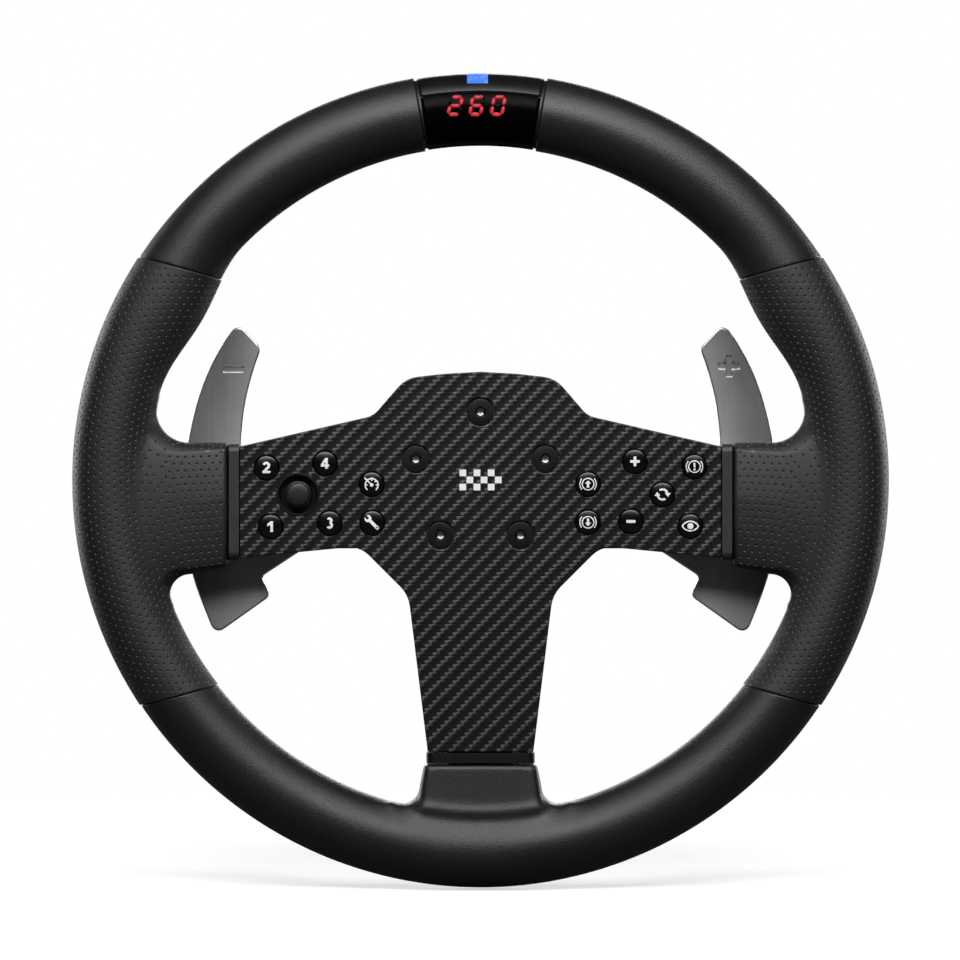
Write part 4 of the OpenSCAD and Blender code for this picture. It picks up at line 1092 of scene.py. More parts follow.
# %% [markdown]
# Two small tools for flat outlines come next. `moved_in` shifts an outline sideways by the same
# distance all along, as a tailor's seam allowance does. `filled` covers the area between an
# outline and its holes with triangles: the triangulation also fills the holes, so every triangle
# whose middle lies in a hole, or outside, is dropped.

# %% Move an outline and fill it
def moved_in(loop, distance):
    before, after = loop - np.roll(loop, 1, 0), np.roll(loop, -1, 0) - loop
    before /= np.maximum(np.linalg.norm(before, axis=1, keepdims=True), 1e-9)
    after /= np.maximum(np.linalg.norm(after, axis=1, keepdims=True), 1e-9)
    a = np.stack([-before[:, 1], before[:, 0]], 1)
    b = np.stack([-after[:, 1], after[:, 0]], 1)
    joint = (a + b) / np.maximum(1 + (a * b).sum(1, keepdims=True), 0.5)
    return loop + joint * distance


def filled(loops):
    """Triangles between the first loop, which is the outline, and the others, which are holes."""
    flat, edges = [], []
    for loop in loops:
        start = len(flat)
        flat += [Vector(p) for p in loop]
        edges += [(start + k, start + (k + 1) % len(loop)) for k in range(len(loop))]
    made = delaunay_2d_cdt(flat, edges, [], 1, 1e-7)
    back = [o[0] for o in made[3]]
    triangles = np.array([[back[i] for i in face] for face in made[2]])
    points = np.array(flat)[:, :2]
    a, b, c = (points[triangles[:, k]] for k in range(3))
    turned_over = (b - a)[:, 0] * (c - a)[:, 1] < (b - a)[:, 1] * (c - a)[:, 0]
    triangles[turned_over] = triangles[turned_over][:, ::-1]
    spots = points[triangles].mean(1)
    keep = np.ones(len(triangles), bool)
    for number, loop in enumerate(loops):
        inside = covers(loop, spots)
        keep &= inside if number == 0 else ~inside
    return triangles[keep]


def covers(loop, spots):
    x, z = spots[:, 0], spots[:, 1]
    inside = np.zeros(len(spots), bool)
    for (ax, az), (bx, bz) in zip(loop, np.roll(loop, -1, 0)):
        if az != bz:
            cross = ((az > z) != (bz > z)) & (x < (bx - ax) * (z - az) / (bz - az) + ax)
            inside ^= cross
    return inside


small_square = np.array([(0.0, 0.0), (4.0, 0.0), (4.0, 4.0), (0.0, 4.0)])
square_hole = moved_in(small_square, 1.0)
print("triangles in a square with a square hole:", len(filled([small_square, square_hole])))

# %% [markdown]
# `slab` turns an outline with holes into a solid sheet whose edges are rounded on both faces. A
# bevel modifier could round them, but it fails where holes lie close together. So the roundings
# are made by moving the outline inwards in small steps, and only the two faces are filled. A
# pocket is a hole that stops partway, with a floor: it makes an engraved sign. The faces are large
# and flat, so a weighted-normal modifier keeps them looking flat.

# %% A sheet with rounded edges, holes and pockets
POCKET_EDGE, POCKET_FOOT = 0.15, 0.05


def arc_line(radius, steps=3):
    """A rounded edge as (inset, drop) pairs."""
    return [
        (radius * (1 - math.sin(a)), radius * (1 - math.cos(a)))
        for a in np.linspace(0, math.pi / 2, steps + 1)
    ]


def slab(outline, holes, front, back, edge_line, pockets=(), pocket_deep=0.5):
    """A sheet between two depths; edge_line gives its edges as (inset, drop) pairs."""
    points, faces = [], []

    def walls(loop, rows, outward=False):
        """The loop at each (inset, depth), joined by bands; returns the rows' point numbers."""
        ids = []
        for inset, y in rows:
            ids.append(list(range(len(points), len(points) + len(loop))))
            points.extend([x, y, z] for x, z in moved_in(loop, inset))
        for one, two in zip(ids, ids[1:]):
            faces.extend(quad[::-1] if outward else quad for quad in band(one, two))
        return ids

    rows = [(i, front + d) for i, d in edge_line] + [(i, back - d) for i, d in edge_line[::-1]]
    ids = walls(counterclockwise(outline), rows, True)
    fronts, backs = [ids[0]], [ids[-1]]
    for hole in holes:
        ids = walls(counterclockwise(hole), [(-i, y) for i, y in rows])
        fronts.append(ids[0])
        backs.append(ids[-1])
    floor = front + pocket_deep
    for pocket in pockets:
        ids = walls(counterclockwise(pocket), (
            (-POCKET_EDGE, front), (-POCKET_EDGE * 0.3, front + POCKET_EDGE * 0.3),
            (0, front + POCKET_EDGE), (POCKET_FOOT, floor - POCKET_FOOT), (POCKET_EDGE, floor),
        ))
        fronts.append(ids[0])
        outline = np.array(points)[ids[-1]][:, [0, 2]]
        faces.extend([ids[-1][i] for i in t] for t in filled([outline]))
    flat = np.array(points)
    for row, groups in enumerate((fronts, backs)):
        ids = [i for group in groups for i in group]
        for t in filled([flat[group][:, [0, 2]] for group in groups]):
            triangle = [ids[i] for i in t]
            faces.append(triangle if row == 0 else triangle[::-1])
    return flat, faces


def flat_looking(piece):
    piece.modifiers.new("flat faces", "WEIGHTED_NORMAL").keep_sharp = True
    return piece


print("a small square sheet:", len(slab(small_square, [], 0, 1, arc_line(0.3))[1]), "faces")

# %% [markdown]
# ## The button plate
# The plate looks like carbon fibre: a two-over-two twill of flat tows about a millimetre and a
# half wide under clear lacquer. The tows that run across look bright where they come up from
# under their neighbours, and those short glints line up in diagonals. The glints, the dim sheen
# below each of them and a thin dark line above them are painted into the colour: painted
# highlights, painted sheen and a painted shadow, on top of a real bump of the tows. An image of
# cloth would show its repeats, so the weave is arithmetic: `u` and `v` count tows across and up,
# the place inside a tow is the part after the decimal point, and the remainder of their
# difference by four says which tow is on top.

# %% Carbon twill
TOW = 1.47


def twill_skin(name, dark, painted_sheen, painted_glint):
    skin = Finish(name)
    x, _, z = skin.xyz()
    wander = (skin.noise(9.0, 1.0) - 0.5) * 0.1
    u, v = x / TOW + wander, z / TOW + wander
    across, up = u.part(), v.part()
    step = (u.floor() - v.floor()) % 4.0
    top = (step * -1.0 + 1.5) > 0.0
    first = (step * -1.0 + 0.5) > 0.0
    second = top - first
    weft_along, weft_crown = (across + step) * 0.5, up.hump() ** 0.6
    warp_along, warp_crown = ((step - 2.0) + up) * 0.5, across.hump() ** 0.6
    fibre_x = skin.noise(1.0, 2.0, skin.stretched(0.35, 1.0, 9.0))
    fibre_z = skin.noise(1.0, 2.0, skin.stretched(9.0, 1.0, 0.35))
    # Painted highlight: a bright glint painted at the start of each tow that comes up, with a dim painted
    # sheen trailing off below it.
    spot = ((across - 0.5) * 1.55) ** 2.0 + ((up - 0.56) * 2.3) ** 2.0
    shine = first * (spot * -1.0 + 1.0).ramp(0.0, 0.75)
    fade = first * (up * -1.0 + 0.75).ramp(0.0, 1.6)
    fade = fade + second * (across * -1.0 + 0.7).ramp(0.0, 1.2) * up.ramp(0.1, 0.8)
    # Painted shadow: a thin near-black line painted along the top edge of each glint.
    edge = first * up.ramp(0.86, 0.95)
    patches = skin.noise(24.0, 2.0)
    shade = skin.blend((fade * (patches + 0.5) * (fibre_x * 0.5 + 0.75)).ramp(0.0, 1.0), dark, painted_sheen)
    bright = shine * (fibre_x * 0.7 + 0.45) * (patches * 0.9 + 0.45)
    shade = skin.blend(bright.ramp(0.0, 1.0), shade, painted_glint)
    shade = skin.blend(edge * 0.85, shade, 0.002)
    height = top * weft_crown * (weft_along.hump() * 0.5 + 0.6)
    height = height + (top * -1.0 + 1.0) * warp_crown * (warp_along.hump() * 0.3 + 0.35)
    skin.set(
        Base_Color=shade, Roughness=(fibre_x * 0.1 + fibre_z * 0.1 + 0.22), Specular_IOR_Level=0.5
    )
    skin.bump(height + fibre_x * 0.12 + fibre_z * 0.1, 0.09)
    return skin.material


# The colours are the carbon's own dark, a painted sheen and a painted glint.
carbon = twill_skin(
    "carbon_twill", (0.003, 0.0032, 0.0033), (0.028, 0.029, 0.029), (0.105, 0.106, 0.107)
)
print("tows per plate width:", round((high("face_plate") - low("face_plate"))[0] / TOW))

# %% [markdown]
# The plate itself is three millimetres thick, with round holes for the buttons, the stick and the
# screws. The frame draws its holes as polygons; each is drawn again as a true circle of 72 points.

# %% Cut the plate
PLATE_THICK, PLATE_EDGE = 3.0, 0.4
plate_front = low("face_plate")[1]
plate_back = plate_front + PLATE_THICK
plate_loops = front_loops("face_plate", plate_front)
plate_holes = []
for hole in plate_loops[1:]:
    spot, radius = hole.mean(0), np.ptp(hole[:, 0]) / 2
    turns = np.linspace(0, 2 * math.pi, 73)[:-1]
    plate_holes.append(spot + radius * np.stack([np.cos(turns), np.sin(turns)], 1))
plate_mesh = slab(
    evened(plate_loops[0], 2.5), plate_holes, plate_front, plate_back, arc_line(PLATE_EDGE)
)
print("holes in the plate:", len(plate_holes))

# %% [markdown]
# ## Turned parts
# Screws, buttons and knobs are round, so each is a profile turned about its own axis. The profile
# is a row of corners, each with a radius; `rounded` replaces every corner with a short arc, which
# is what gives these small parts their bright edges.

# %% Profiles and turning
def rounded(corners, steps=4):
    out = []
    for k, corner in enumerate(corners):
        here = np.array(corner[:2], float)
        radius = corner[2] if len(corner) > 2 else 0
        if radius == 0 or k in (0, len(corners) - 1):
            out.append(here)
            continue
        before, after = np.array(corners[k - 1][:2]) - here, np.array(corners[k + 1][:2]) - here
        a, b = np.linalg.norm(before), np.linalg.norm(after)
        before, after = before / a, after / b
        half = math.acos(np.clip(before @ after, -1, 1)) / 2
        reach = min(radius / math.tan(half), 0.49 * a, 0.49 * b)
        start, end = here + before * reach, here + after * reach
        radius = reach * math.tan(half)
        centre = here + (before + after) / np.linalg.norm(before + after) * radius / math.sin(half)
        for t in np.linspace(0, 1, steps + 1):
            way = (start - centre) * (1 - t) + (end - centre) * t
            out.append(centre + way / np.linalg.norm(way) * radius)
    return np.array(out)


def circle(spot, y, radii):
    """Points round a line along Y through the spot, each with its own radius."""
    return [
        [spot[0] + radius * math.cos(t), y, spot[1] + radius * math.sin(t)]
        for radius, t in zip(radii, even_turns(len(radii)))
    ]


def turned(profile, spot=(0, 0), count=48):
    """Turns (radius, y) points about a line along Y; a radius of zero is a pole."""
    points, rows = [], []
    for radius, y in profile:
        start = len(points)
        if radius < 1e-6:
            points.append([spot[0], y, spot[1]])
            rows.append([start] * count)
        else:
            points += circle(spot, y, [radius] * count)
            rows.append(list(range(start, start + count)))
    quads = [quad for one, two in zip(rows, rows[1:]) for quad in band(one, two, True)]
    return np.array(points), [list(dict.fromkeys(quad)) for quad in quads]


right_angle = rounded([(0, 0), (1, 0, 0.3), (1, 1)])
print("a right angle rounded in four steps:", len(right_angle), "points")

# %% [markdown]
# ## Black plastic, white ink and black steel
# Moulded plastic has a fine spark-eroded texture and slightly uneven gloss. Printed ink is flat and
# a touch rough. All of them are two near colours mixed by noise, so one function makes them all.

# %% Moulded and printed finishes
def moulded(name, dark, light, rough=0.4, grain=0.12, tall=0.006, **plain):
    skin = Finish(name, **plain)
    fine, broad = skin.noise(grain, 2.0), skin.noise(6.0, 3.0)
    skin.set(
        Base_Color=skin.blend((fine * 0.5 + broad * 0.6).ramp(0.3, 0.8), dark, light),
        Roughness=(broad * 0.12 + fine * 0.1 + (rough - 0.1)),
    )
    skin.bump(fine, tall)
    return skin.material


button_black = moulded("button_black", 0.0004, 0.0009, 0.2, 0.12, 0.002)
ink_white = moulded("printed_white", (0.80, 0.80, 0.79), (0.9, 0.9, 0.89), 0.5, 0.1, 0.003)
screw_black = moulded(
    "blackened_steel", (0.0012, 0.0012, 0.0012), (0.003, 0.0028, 0.0028), 0.3, 0.2, 0.006
)
ring_black = moulded("ring_black", 0.004, 0.007, 0.42)
stick_rubber = moulded("stick_rubber", 0.004, 0.008, 0.4, 0.16, 0.008)
collar_black = moulded(
    "collar_black", (0.012, 0.012, 0.0125), (0.02, 0.02, 0.021), 0.48, 0.35, 0.03
)
print("finishes so far:", len(bpy.data.materials))

# %% [markdown]
# Bare steel shows the way it was worked: fine streaks along one direction.

# %% Brushed steel
def brushed(name, dark, light, rough, grain=(1.0, 1.0, 1.0), tall=0.004, **plain):
    skin = Finish(name, Metallic=1.0, **plain)
    streaks = skin.noise(0.3, 3.0, skin.stretched(*grain))
    broad = skin.noise(14.0, 3.0)
    skin.set(
        Base_Color=skin.blend((streaks * 0.6 + broad * 0.5).ramp(0.3, 0.8), dark, light),
        Roughness=(streaks * 0.1 + broad * 0.1 + (rough - 0.1)),
    )
    skin.bump(streaks, tall)
    return skin.material


bright_steel = brushed("rubbed_steel", (0.16, 0.16, 0.16), (0.5, 0.5, 0.5), 0.36, tall=0.05)
print("finishes:", len(bpy.data.materials))

# %% [markdown]
# ## Hub screws
# Five countersunk screws clamp the wheel to its hub, each sunk in a clean round hole. Their places
# come from the frame: `places_of` gathers a node's points near one plane into groups and takes
# the middle of each. The same helper finds the plate's own screw posts, short tubes on its back.

# %% Find round parts, and the plate's screw posts
def places_of(node, plane_y, apart):
    """Middles of a node's separate round parts, from the points near one plane."""
    points = node_points(node)
    near = points[np.abs(points[:, 1] - plane_y) < 0.05][:, [0, 2]]
    groups = []
    for p in near:
        for group in groups:
            if np.linalg.norm(np.mean(group, 0) - p) < apart:
                group.append(p)
                break
        else:
            groups.append([p])
    return [(np.max(g, 0) + np.min(g, 0)) / 2 for g in groups]


POST_R, POST_BORE_R = 2.7, 1.2
post_end = high("face_plate")[1]
post_profile = [
    (POST_R, plate_back - 0.4), (POST_R, post_end - 0.3), (POST_R - 0.25, post_end),
    (POST_BORE_R, post_end), (POST_BORE_R, plate_back + 2.0), (0, plate_back + 1.4),
]
posts = [turned(post_profile, spot, 32) for spot in places_of("face_plate", post_end, 6.0)]
flat_looking(add_piece(
    "carbon_button_plate", *joined(plate_mesh, *posts), carbon, stands_for=["face_plate"],
    slot="weave_plate",
))
print("screw posts:", len(posts))

# %% [markdown]
# A screw head could be a disc with a hexagon printed on it, but the light in the socket is what one
# notices. Its rim starts as a circle, turns into a hexagon, goes down and ends in the cone that a
# drill leaves; tools have rubbed that cone bright.

# %% Heads with hexagon sockets
def hex_screw(spot, top, head_r, edge, shank_r, shank_end, across, deep):
    """A countersunk screw whose socket goes from a circle to a hexagon and ends in a cone."""
    n, mouth = 48, across * 0.62
    body = turned(rounded([
        (mouth, top), (head_r, top, 0.3), (head_r, top + edge, 0.1),
        (shank_r, top + edge + head_r - shank_r, 0.2), (shank_r, shank_end, 0.3), (0, shank_end),
    ]), spot, n)
    hexagon = across / 2 / np.cos((even_turns(n) + math.pi / 6) % (math.pi / 3) - math.pi / 6)
    foot = top + deep + 0.05
    rows = (
        (np.full(n, mouth), top), (hexagon * 1.03, top + 0.16), (hexagon, top + 0.35),
        (hexagon, top + deep), (hexagon * 0.8, foot),
    )
    points = [point for radii, y in rows for point in circle(spot, y, radii)]
    points.append([spot[0], foot + across * 0.22, spot[1]])
    tip, last = len(points) - 1, list(range(len(points) - 1 - n, len(points) - 1))
    socket = [quad[1:] + quad[:1] for quad in lofted(len(rows), n)[:-2]]
    cone = [[last[(k + 1) % n], tip, last[k]] for k in range(n)]
    marks = [0] * (len(body[1]) + len(socket)) + [1] * len(cone)
    return joined(body, (points, socket + cone)), marks


HEAD_R, HEAD_EDGE, SHANK_R, KEY_ACROSS, KEY_DEEP = 4.85, 0.5, 2.5, 3.2, 2.3
head_top = low("hub_screws")[1]
hub_parts, hub_marks = [], []
for spot in places_of("hub_screws", head_top, 11.0):
    mesh, marks = hex_screw(
        spot, head_top, HEAD_R, HEAD_EDGE, SHANK_R, high("hub_screws")[1], KEY_ACROSS, KEY_DEEP
    )
    hub_parts.append(mesh)
    hub_marks += marks
add_piece(
    "hub_screw_set", *joined(*hub_parts), [screw_black, bright_steel],
    stands_for=["hub_screws"], slot="black_screws", marks=hub_marks,
)

# %% [markdown]
# ## Signs on the buttons
# Each button carries a small printed sign. A text object could give the numbers but not the other
# signs, and its letters would be someone's typeface. So all of them are flat distance fields:
# strokes, rings and polygons joined with a minimum.

# %% Strokes, rings and polygons
def bar(p, a, b, width):
    """A straight stroke with square ends."""
    a, b = np.array(a, float), np.array(b, float)
    way = (b - a) / np.linalg.norm(b - a)
    middle = p - (a + b) / 2
    along = np.abs(middle @ way) - np.linalg.norm(b - a) / 2
    beside = np.abs(middle @ np.array([-way[1], way[0]])) - width / 2
    return np.maximum(along, beside)


def disc(p, centre, radius):
    return np.hypot(p[:, 0] - centre[0], p[:, 1] - centre[1]) - radius


def arc(p, centre, radius, width, start=0, end=360):
    """A ring, or the part of it between two angles."""
    offset = p - np.array(centre, float)
    ring = np.abs(np.hypot(*offset.T) - radius) - width / 2
    if end - start >= 360:
        return ring
    middle, half = math.radians((start + end) / 2), math.radians((end - start) / 2)
    turn = (np.arctan2(offset[:, 1], offset[:, 0]) - middle + math.pi) % (2 * math.pi) - math.pi
    return np.maximum(ring, (np.abs(turn) - half) * radius)


def polygon(p, corners):
    corners = np.array(corners, float)
    distance = np.full(len(p), np.inf)
    for a, b in zip(corners, np.roll(corners, -1, 0)):
        way = b - a
        t = np.clip(((p - a) @ way) / (way @ way), 0, 1)
        distance = np.minimum(distance, np.linalg.norm(p - a - t[:, None] * way, axis=1))
    return np.where(covers(corners, p), -distance, distance)


def either(*fields):
    return np.minimum.reduce(fields)


print("inside a disc of 2 mm the field is", disc(np.zeros((1, 2)), (0, 0), 2.0)[0])

# %% [markdown]
# Each function takes points in millimetres from the sign's middle and says how far they are from
# the ink.

# %% Four numbers
def one(p):
    flag = polygon(p, [(0.4, 2.0), (-1.2, 1.05), (-1.2, 0.1), (0.4, 0.75)])
    return either(bar(p, (0.45, -2.0), (0.45, 2.0), 1.0), flag)


def two(p):
    return either(
        arc(p, (0, 0.82), 0.93, 0.9, -38, 168),
        bar(p, (0.95, 0.45), (-0.85, -1.5), 0.9),
        bar(p, (-1.45, -1.58), (1.4, -1.58), 0.84),
    )


def three(p):
    upper = arc(p, (-0.05, 1.0), 0.68, 0.85, -92, 150)
    return either(upper, arc(p, (-0.05, -0.78), 0.86, 0.85, -150, 92))


def four(p):
    return either(
        bar(p, (0.55, -2.0), (0.55, 2.0), 0.95),
        bar(p, (-1.55, -0.82), (1.5, -0.82), 0.8),
        bar(p, (-1.3, -0.85), (0.35, 1.8), 0.8),
    )


print("ink at the middle of the 3:", bool(three(np.zeros((1, 2)))[0] < 0))

# %% [markdown]
# The other signs are the common ones of cars and tools: an arrow or a point of exclamation between
# brake shoes, a dial for the speed limiter, a spanner, two arrows in a ring, an eye, plus and minus.

# %% Nine symbols
def brackets(p):
    shoes = [arc(p, (0, 0), 3.0, 0.4, start, start + 84) for start in (-42, 138)]
    return either(*shoes, arc(p, (0, 0), 2.12, 0.42))


def arrow(p, way):
    head = [(0, 1.4 * way), (1.2 * way, 0.15 * way), (-1.2 * way, 0.15 * way)]
    return either(polygon(p, head), bar(p, (0, -1.35 * way), (0, 0.3 * way), 0.85))


def limiter(p):
    ticks = [
        bar(p, *[(r * math.cos(t), -0.3 + r * math.sin(t)) for r in (1.45, 2.1)], 0.42)
        for t in np.radians((0, 45, 90, 180))
    ]
    return either(
        arc(p, (0, -0.3), 2.35, 0.5, -50, 230), *ticks,
        bar(p, (-2.6, 2.3), (0, -0.3), 0.5), disc(p, (0, -0.3), 0.68),
    )


def wrench(p):
    head = np.maximum(disc(p, (-1.55, 1.55), 1.3), -bar(p, (-3.4, 3.4), (-1.45, 1.45), 0.95))
    rod = either(bar(p, (-1.1, 1.1), (1.9, -1.9), 1.2), disc(p, (1.9, -1.9), 0.6))
    return either(head, np.maximum(rod, -disc(p, (1.75, -1.75), 0.3)))


def cycle(p):
    tips = [polygon(p, [(0.8 * s, 0.55 * s), (3.0 * s, 0.55 * s), (1.95 * s, -s)]) for s in (1, -1)]
    return either(*(arc(p, (0, 0), 1.85, 0.75, a, a + 110) for a in (15, 195)), *tips)


def eye(p):
    lens = np.maximum(disc(p, (0, -1.62), 3.62), disc(p, (0, 1.62), 3.62))
    return either(np.maximum(lens, -(lens + 0.52)), disc(p, (0, 0), 1.12))


def plus(p):
    return either(bar(p, (-1.75, 0), (1.75, 0), 1.0), bar(p, (0, -1.75), (0, 1.75), 1.0))


def alert(p):
    return either(brackets(p), bar(p, (0, -0.35), (0, 1.35), 0.7), disc(p, (0, -1.05), 0.4))


SIGNS = {
    "button_1": one, "button_2": two, "button_3": three, "button_4": four,
    "button_limiter": limiter, "button_wrench": wrench,
    "button_up": lambda p: either(brackets(p), arrow(p, 1)),
    "button_down": lambda p: either(brackets(p), arrow(p, -1)),
    "button_plus": plus,
    "button_minus": lambda p: bar(p, (-1.7, 0), (1.7, 0), 1.05),
    "button_alert": alert,
    "button_cycle": cycle,
    "button_eye": eye,
}
print("signs:", ", ".join(name.removeprefix("button_") for name in SIGNS))

# %% [markdown]
# `sign_mesh` lays a fine grid of squares under a sign. Squares inside the ink are kept whole, and
# those on its edge are cut along the field's zero line, which gives clean curved edges. The sheet
# is then dropped onto the button's dome by `drape` and given the thickness of a layer of ink.

# %% From a sign's field to a printed sheet
def sign_mesh(field, reach, drape, pitch=0.07, thick=0.05):
    axis = np.arange(-reach, reach + pitch, pitch)
    count = len(axis)
    grid = np.stack(np.meshgrid(axis, axis, indexing="ij"), -1).reshape(-1, 2)
    value = field(grid)
    value = np.where(np.abs(value) < 1e-4, 1e-4, value)
    known, places, faces = {}, [], []

    def corner(key, place):
        if key not in known:
            known[key] = len(places)
            places.append(place)
        return known[key]

    full = value.reshape(count, count) < 0
    cells = np.argwhere(full[:-1, :-1] | full[1:, :-1] | full[1:, 1:] | full[:-1, 1:])
    for i, j in cells:
        ids = [i * count + j, (i + 1) * count + j, (i + 1) * count + j + 1, i * count + j + 1]
        ring = []
        for a, b in zip(ids, ids[1:] + ids[:1]):
            if value[a] < 0:
                ring.append(corner(a, grid[a]))
            if (value[a] < 0) != (value[b] < 0):
                t = value[a] / (value[a] - value[b])
                ring.append(corner((min(a, b), max(a, b)), grid[a] * (1 - t) + grid[b] * t))
        if len(ring) > 2:
            faces.append(ring)
    edges = {(f[k], f[(k + 1) % len(f)]) for f in faces for k in range(len(f))}
    border = [e for e in edges if (e[1], e[0]) not in edges]
    front = drape(np.array(places))
    shift = len(front)
    walls = [[a, a + shift, b + shift, b] for a, b in border]
    return np.concatenate([front, front + (0, thick, 0)]), faces + walls


dot = sign_mesh(lambda p: disc(p, (0, 0), 1.0), 1.5, lambda flat: np.insert(flat, 1, 0.0, axis=1))
print("a printed dot of 2 mm:", len(dot[0]), "points")

# %% [markdown]
# ## The buttons
# A button is one turned piece: a cap with a low dome and a generous edge, a flange behind the
# plate that keeps it in, and a stem that reaches the switch. A bevelled cylinder would look the same
# from far off, but the dome is what gives each cap its soft light from above. The sign is part of
# the same piece, so it goes down with the cap.

# %% Buttons that ride their own joints
DOME_TALL, EDGE_ROUND, CAP_R = 0.5, 1.3, 4.4
FLANGE_R, FLANGE_THICK, STEM_R = 4.85, 1.2, 1.7
INK_OUT, SIGN_REACH = 0.02, 3.5
dome_r = (CAP_R**2 + DOME_TALL**2) / (2 * DOME_TALL)


def on_dome(spot, top, lift):
    def drape(flat):
        radius2 = (flat**2).sum(1)
        y = top + dome_r - np.sqrt(dome_r**2 - radius2) - lift
        return np.stack([spot[0] + flat[:, 0], y, spot[1] + flat[:, 1]], 1)
    return drape


dome_turns = np.linspace(0, math.asin((CAP_R - 0.01) / dome_r), 7)
for node, sign in SIGNS.items():
    spot, top, end = middle(node)[[0, 2]], low(node)[1], high(node)[1]
    dome = [(dome_r * math.sin(t), top + dome_r * (1 - math.cos(t))) for t in dome_turns]
    flange_end = plate_back + FLANGE_THICK
    profile = rounded([
        *dome[:-1], (*dome[-1], EDGE_ROUND), (CAP_R, plate_back, 0.2), (FLANGE_R, plate_back, 0.2),
        (FLANGE_R, flange_end, 0.2), (STEM_R, flange_end, 0.2), (STEM_R, end, 0.3), (0, end),
    ], 5)
    cap = turned(profile, spot, 64)
    print_sheet = sign_mesh(sign, SIGN_REACH, on_dome(spot, top, INK_OUT))
    add_piece(
        node + "_cap", *joined(cap, print_sheet), [button_black, ink_white],
        node.replace("button", "press"), [node], "cap_black",
        [0] * len(cap[1]) + [1] * len(print_sheet[1]),
    )

# %% [markdown]
# ## The thumb stick
# The stick's cap is softer and paler than the buttons: rubber with a low crown and a step round it,
# inside a deep black ring. It tilts on the frame's own two-way cradle.

# %% Stick cap and ring
stick_spot = middle("joystick_cap")[[0, 2]]
stick_top, stick_end = low("joystick_cap")[1], high("joystick_cap")[1]
stick_cap = rounded([
    (0, stick_top), (2.6, stick_top + 0.16, 6.0), (4.2, stick_top + 0.42, 1.0),
    (4.3, stick_top + 1.5, 0.15), (4.6, stick_top + 1.5, 0.15), (4.95, stick_top + 1.75, 0.3),
    (4.95, stick_top + 2.3, 0.1), (4.6, stick_end, 0.4), (1.7, stick_end, 0.1),
    (1.7, stick_end - 2.0), (0, stick_end - 2.0),
], 5)
add_piece(
    "stick_cap", *turned(stick_cap, stick_spot, 72), stick_rubber, "stick_button",
    ["joystick_cap"], "cap_black",
)
RING_IN = 6.9
ring_low, ring_high = low("joystick_ring")[1], high("joystick_ring")[1]
ring_out = (high("joystick_ring") - low("joystick_ring"))[0] / 2
ring_corners = [
    (RING_IN, ring_high, 0.1), (RING_IN, ring_low + 0.35, 0.1), (RING_IN + 0.2, ring_low, 0.2),
    (ring_out - 0.1, ring_low, 0.25), (ring_out, plate_front, 0.05),
    (ring_out - 0.45, plate_front, 0.05), (ring_out - 0.45, ring_high, 0.1),
    (RING_IN, ring_high, 0.1),
]
well_black = moulded("stick_well", 0.0008, 0.0016, 0.5, 0.12, 0.003, Specular_IOR_Level=0.2)
add_piece(
    "stick_ring", *turned(rounded(ring_corners), stick_spot, 96), well_black, "wheel",
    ["joystick_ring"], "cap_black",
)

# %% [markdown]
# ## The mark in the middle
# The middle of the plate carries a painted sign. Here it is a plain chequered block, the oldest
# sign of motor racing, in the same white as the buttons.

# %% A chequered block
CHECK, CHECK_ROWS, CHECK_COLUMNS = 2.6, 3, 6


def chequers(p):
    """Squares of CHECK mm, each a little smaller than its place, so that no corners touch."""
    size = np.array([CHECK_COLUMNS, CHECK_ROWS])
    place = p / CHECK + size / 2
    square = np.abs(place % 1 - 0.5).max(1) * CHECK - CHECK / 2 + 0.06
    outside = (np.abs(p) - CHECK * size / 2).max(1)
    return np.where(np.floor(place).sum(1) % 2 == 0, np.maximum(square, outside), 0.2)


def on_plate(flat):
    return np.insert(flat, 1, plate_front - INK_OUT, axis=1)


mark = sign_mesh(chequers, 8.4, on_plate, 0.13)
add_piece("chequered_mark", *mark, ink_white, slot="weave_plate")

# %% [markdown]
# ## The display pod
# At the top of the rim sits a short piece of tube of hard plastic. Its outer side is a matt bezel
# with a rolled lip, and below the lip lies a glossy black window that runs round to the inside.
# A curve with a bevel object could make them, but its section can't be placed exactly. So `swept`
# carries a section along the rim point by point and closes its ends with flat caps.

# %% Sweep a section along the rim
def swept(section, start, end, steps):
    """section: points (outward, toward the driver) from the tube's middle; angles in degrees."""
    points = []
    for t in np.radians(90 - np.linspace(start, end, steps + 1)):
        for out, toward in section:
            r = PATH_R + out
            points.append([r * math.cos(t), RIM_Y - toward, r * math.sin(t)])
    return np.array(points), lofted(steps + 1, len(section))


def at(radius, degrees):
    return radius * math.cos(math.radians(degrees)), radius * math.sin(math.radians(degrees))


def arc_points(radius, start, end, count):
    return [at(radius, degrees) for degrees in np.linspace(start, end, count)]


coarse_ring = swept(arc_points(10, 0, 300, 6), -9, 9, 4)
print("a coarse ring round the rim:", len(coarse_ring[0]), "points")

# %% [markdown]
# Lit digits glow from inside, and the glow is a little uneven.

# %% Pod finishes
bezel_black = moulded("bezel_plastic", 0.0025, 0.0045, 0.34, 0.1, 0.004, Specular_IOR_Level=0.4)
window_black = moulded("window_gloss", 0.0006, 0.001, 0.25, 8.0, 0.0, Specular_IOR_Level=0.03)


def glowing(name, core, edge, strength, cell):
    skin = Finish(name, Roughness=0.4)
    soft = skin.noise(cell, 1.0)
    shade = skin.blend(soft.ramp(0.35, 0.65), edge, core)
    skin.set(Base_Color=skin.blend(soft, 0.004, 0.008), Emission_Color=shade)
    skin.set(Emission_Strength=strength)
    return skin.material


red_light = glowing("red_segments", (0.8, 0.03, 0.045), (0.42, 0.012, 0.028), 1.0, 0.9)
blue_light = glowing("blue_light", (0.14, 0.34, 1.0), (0.055, 0.22, 0.92), 1.0, 3.0)
print("glowing finishes:", red_light.name, blue_light.name)

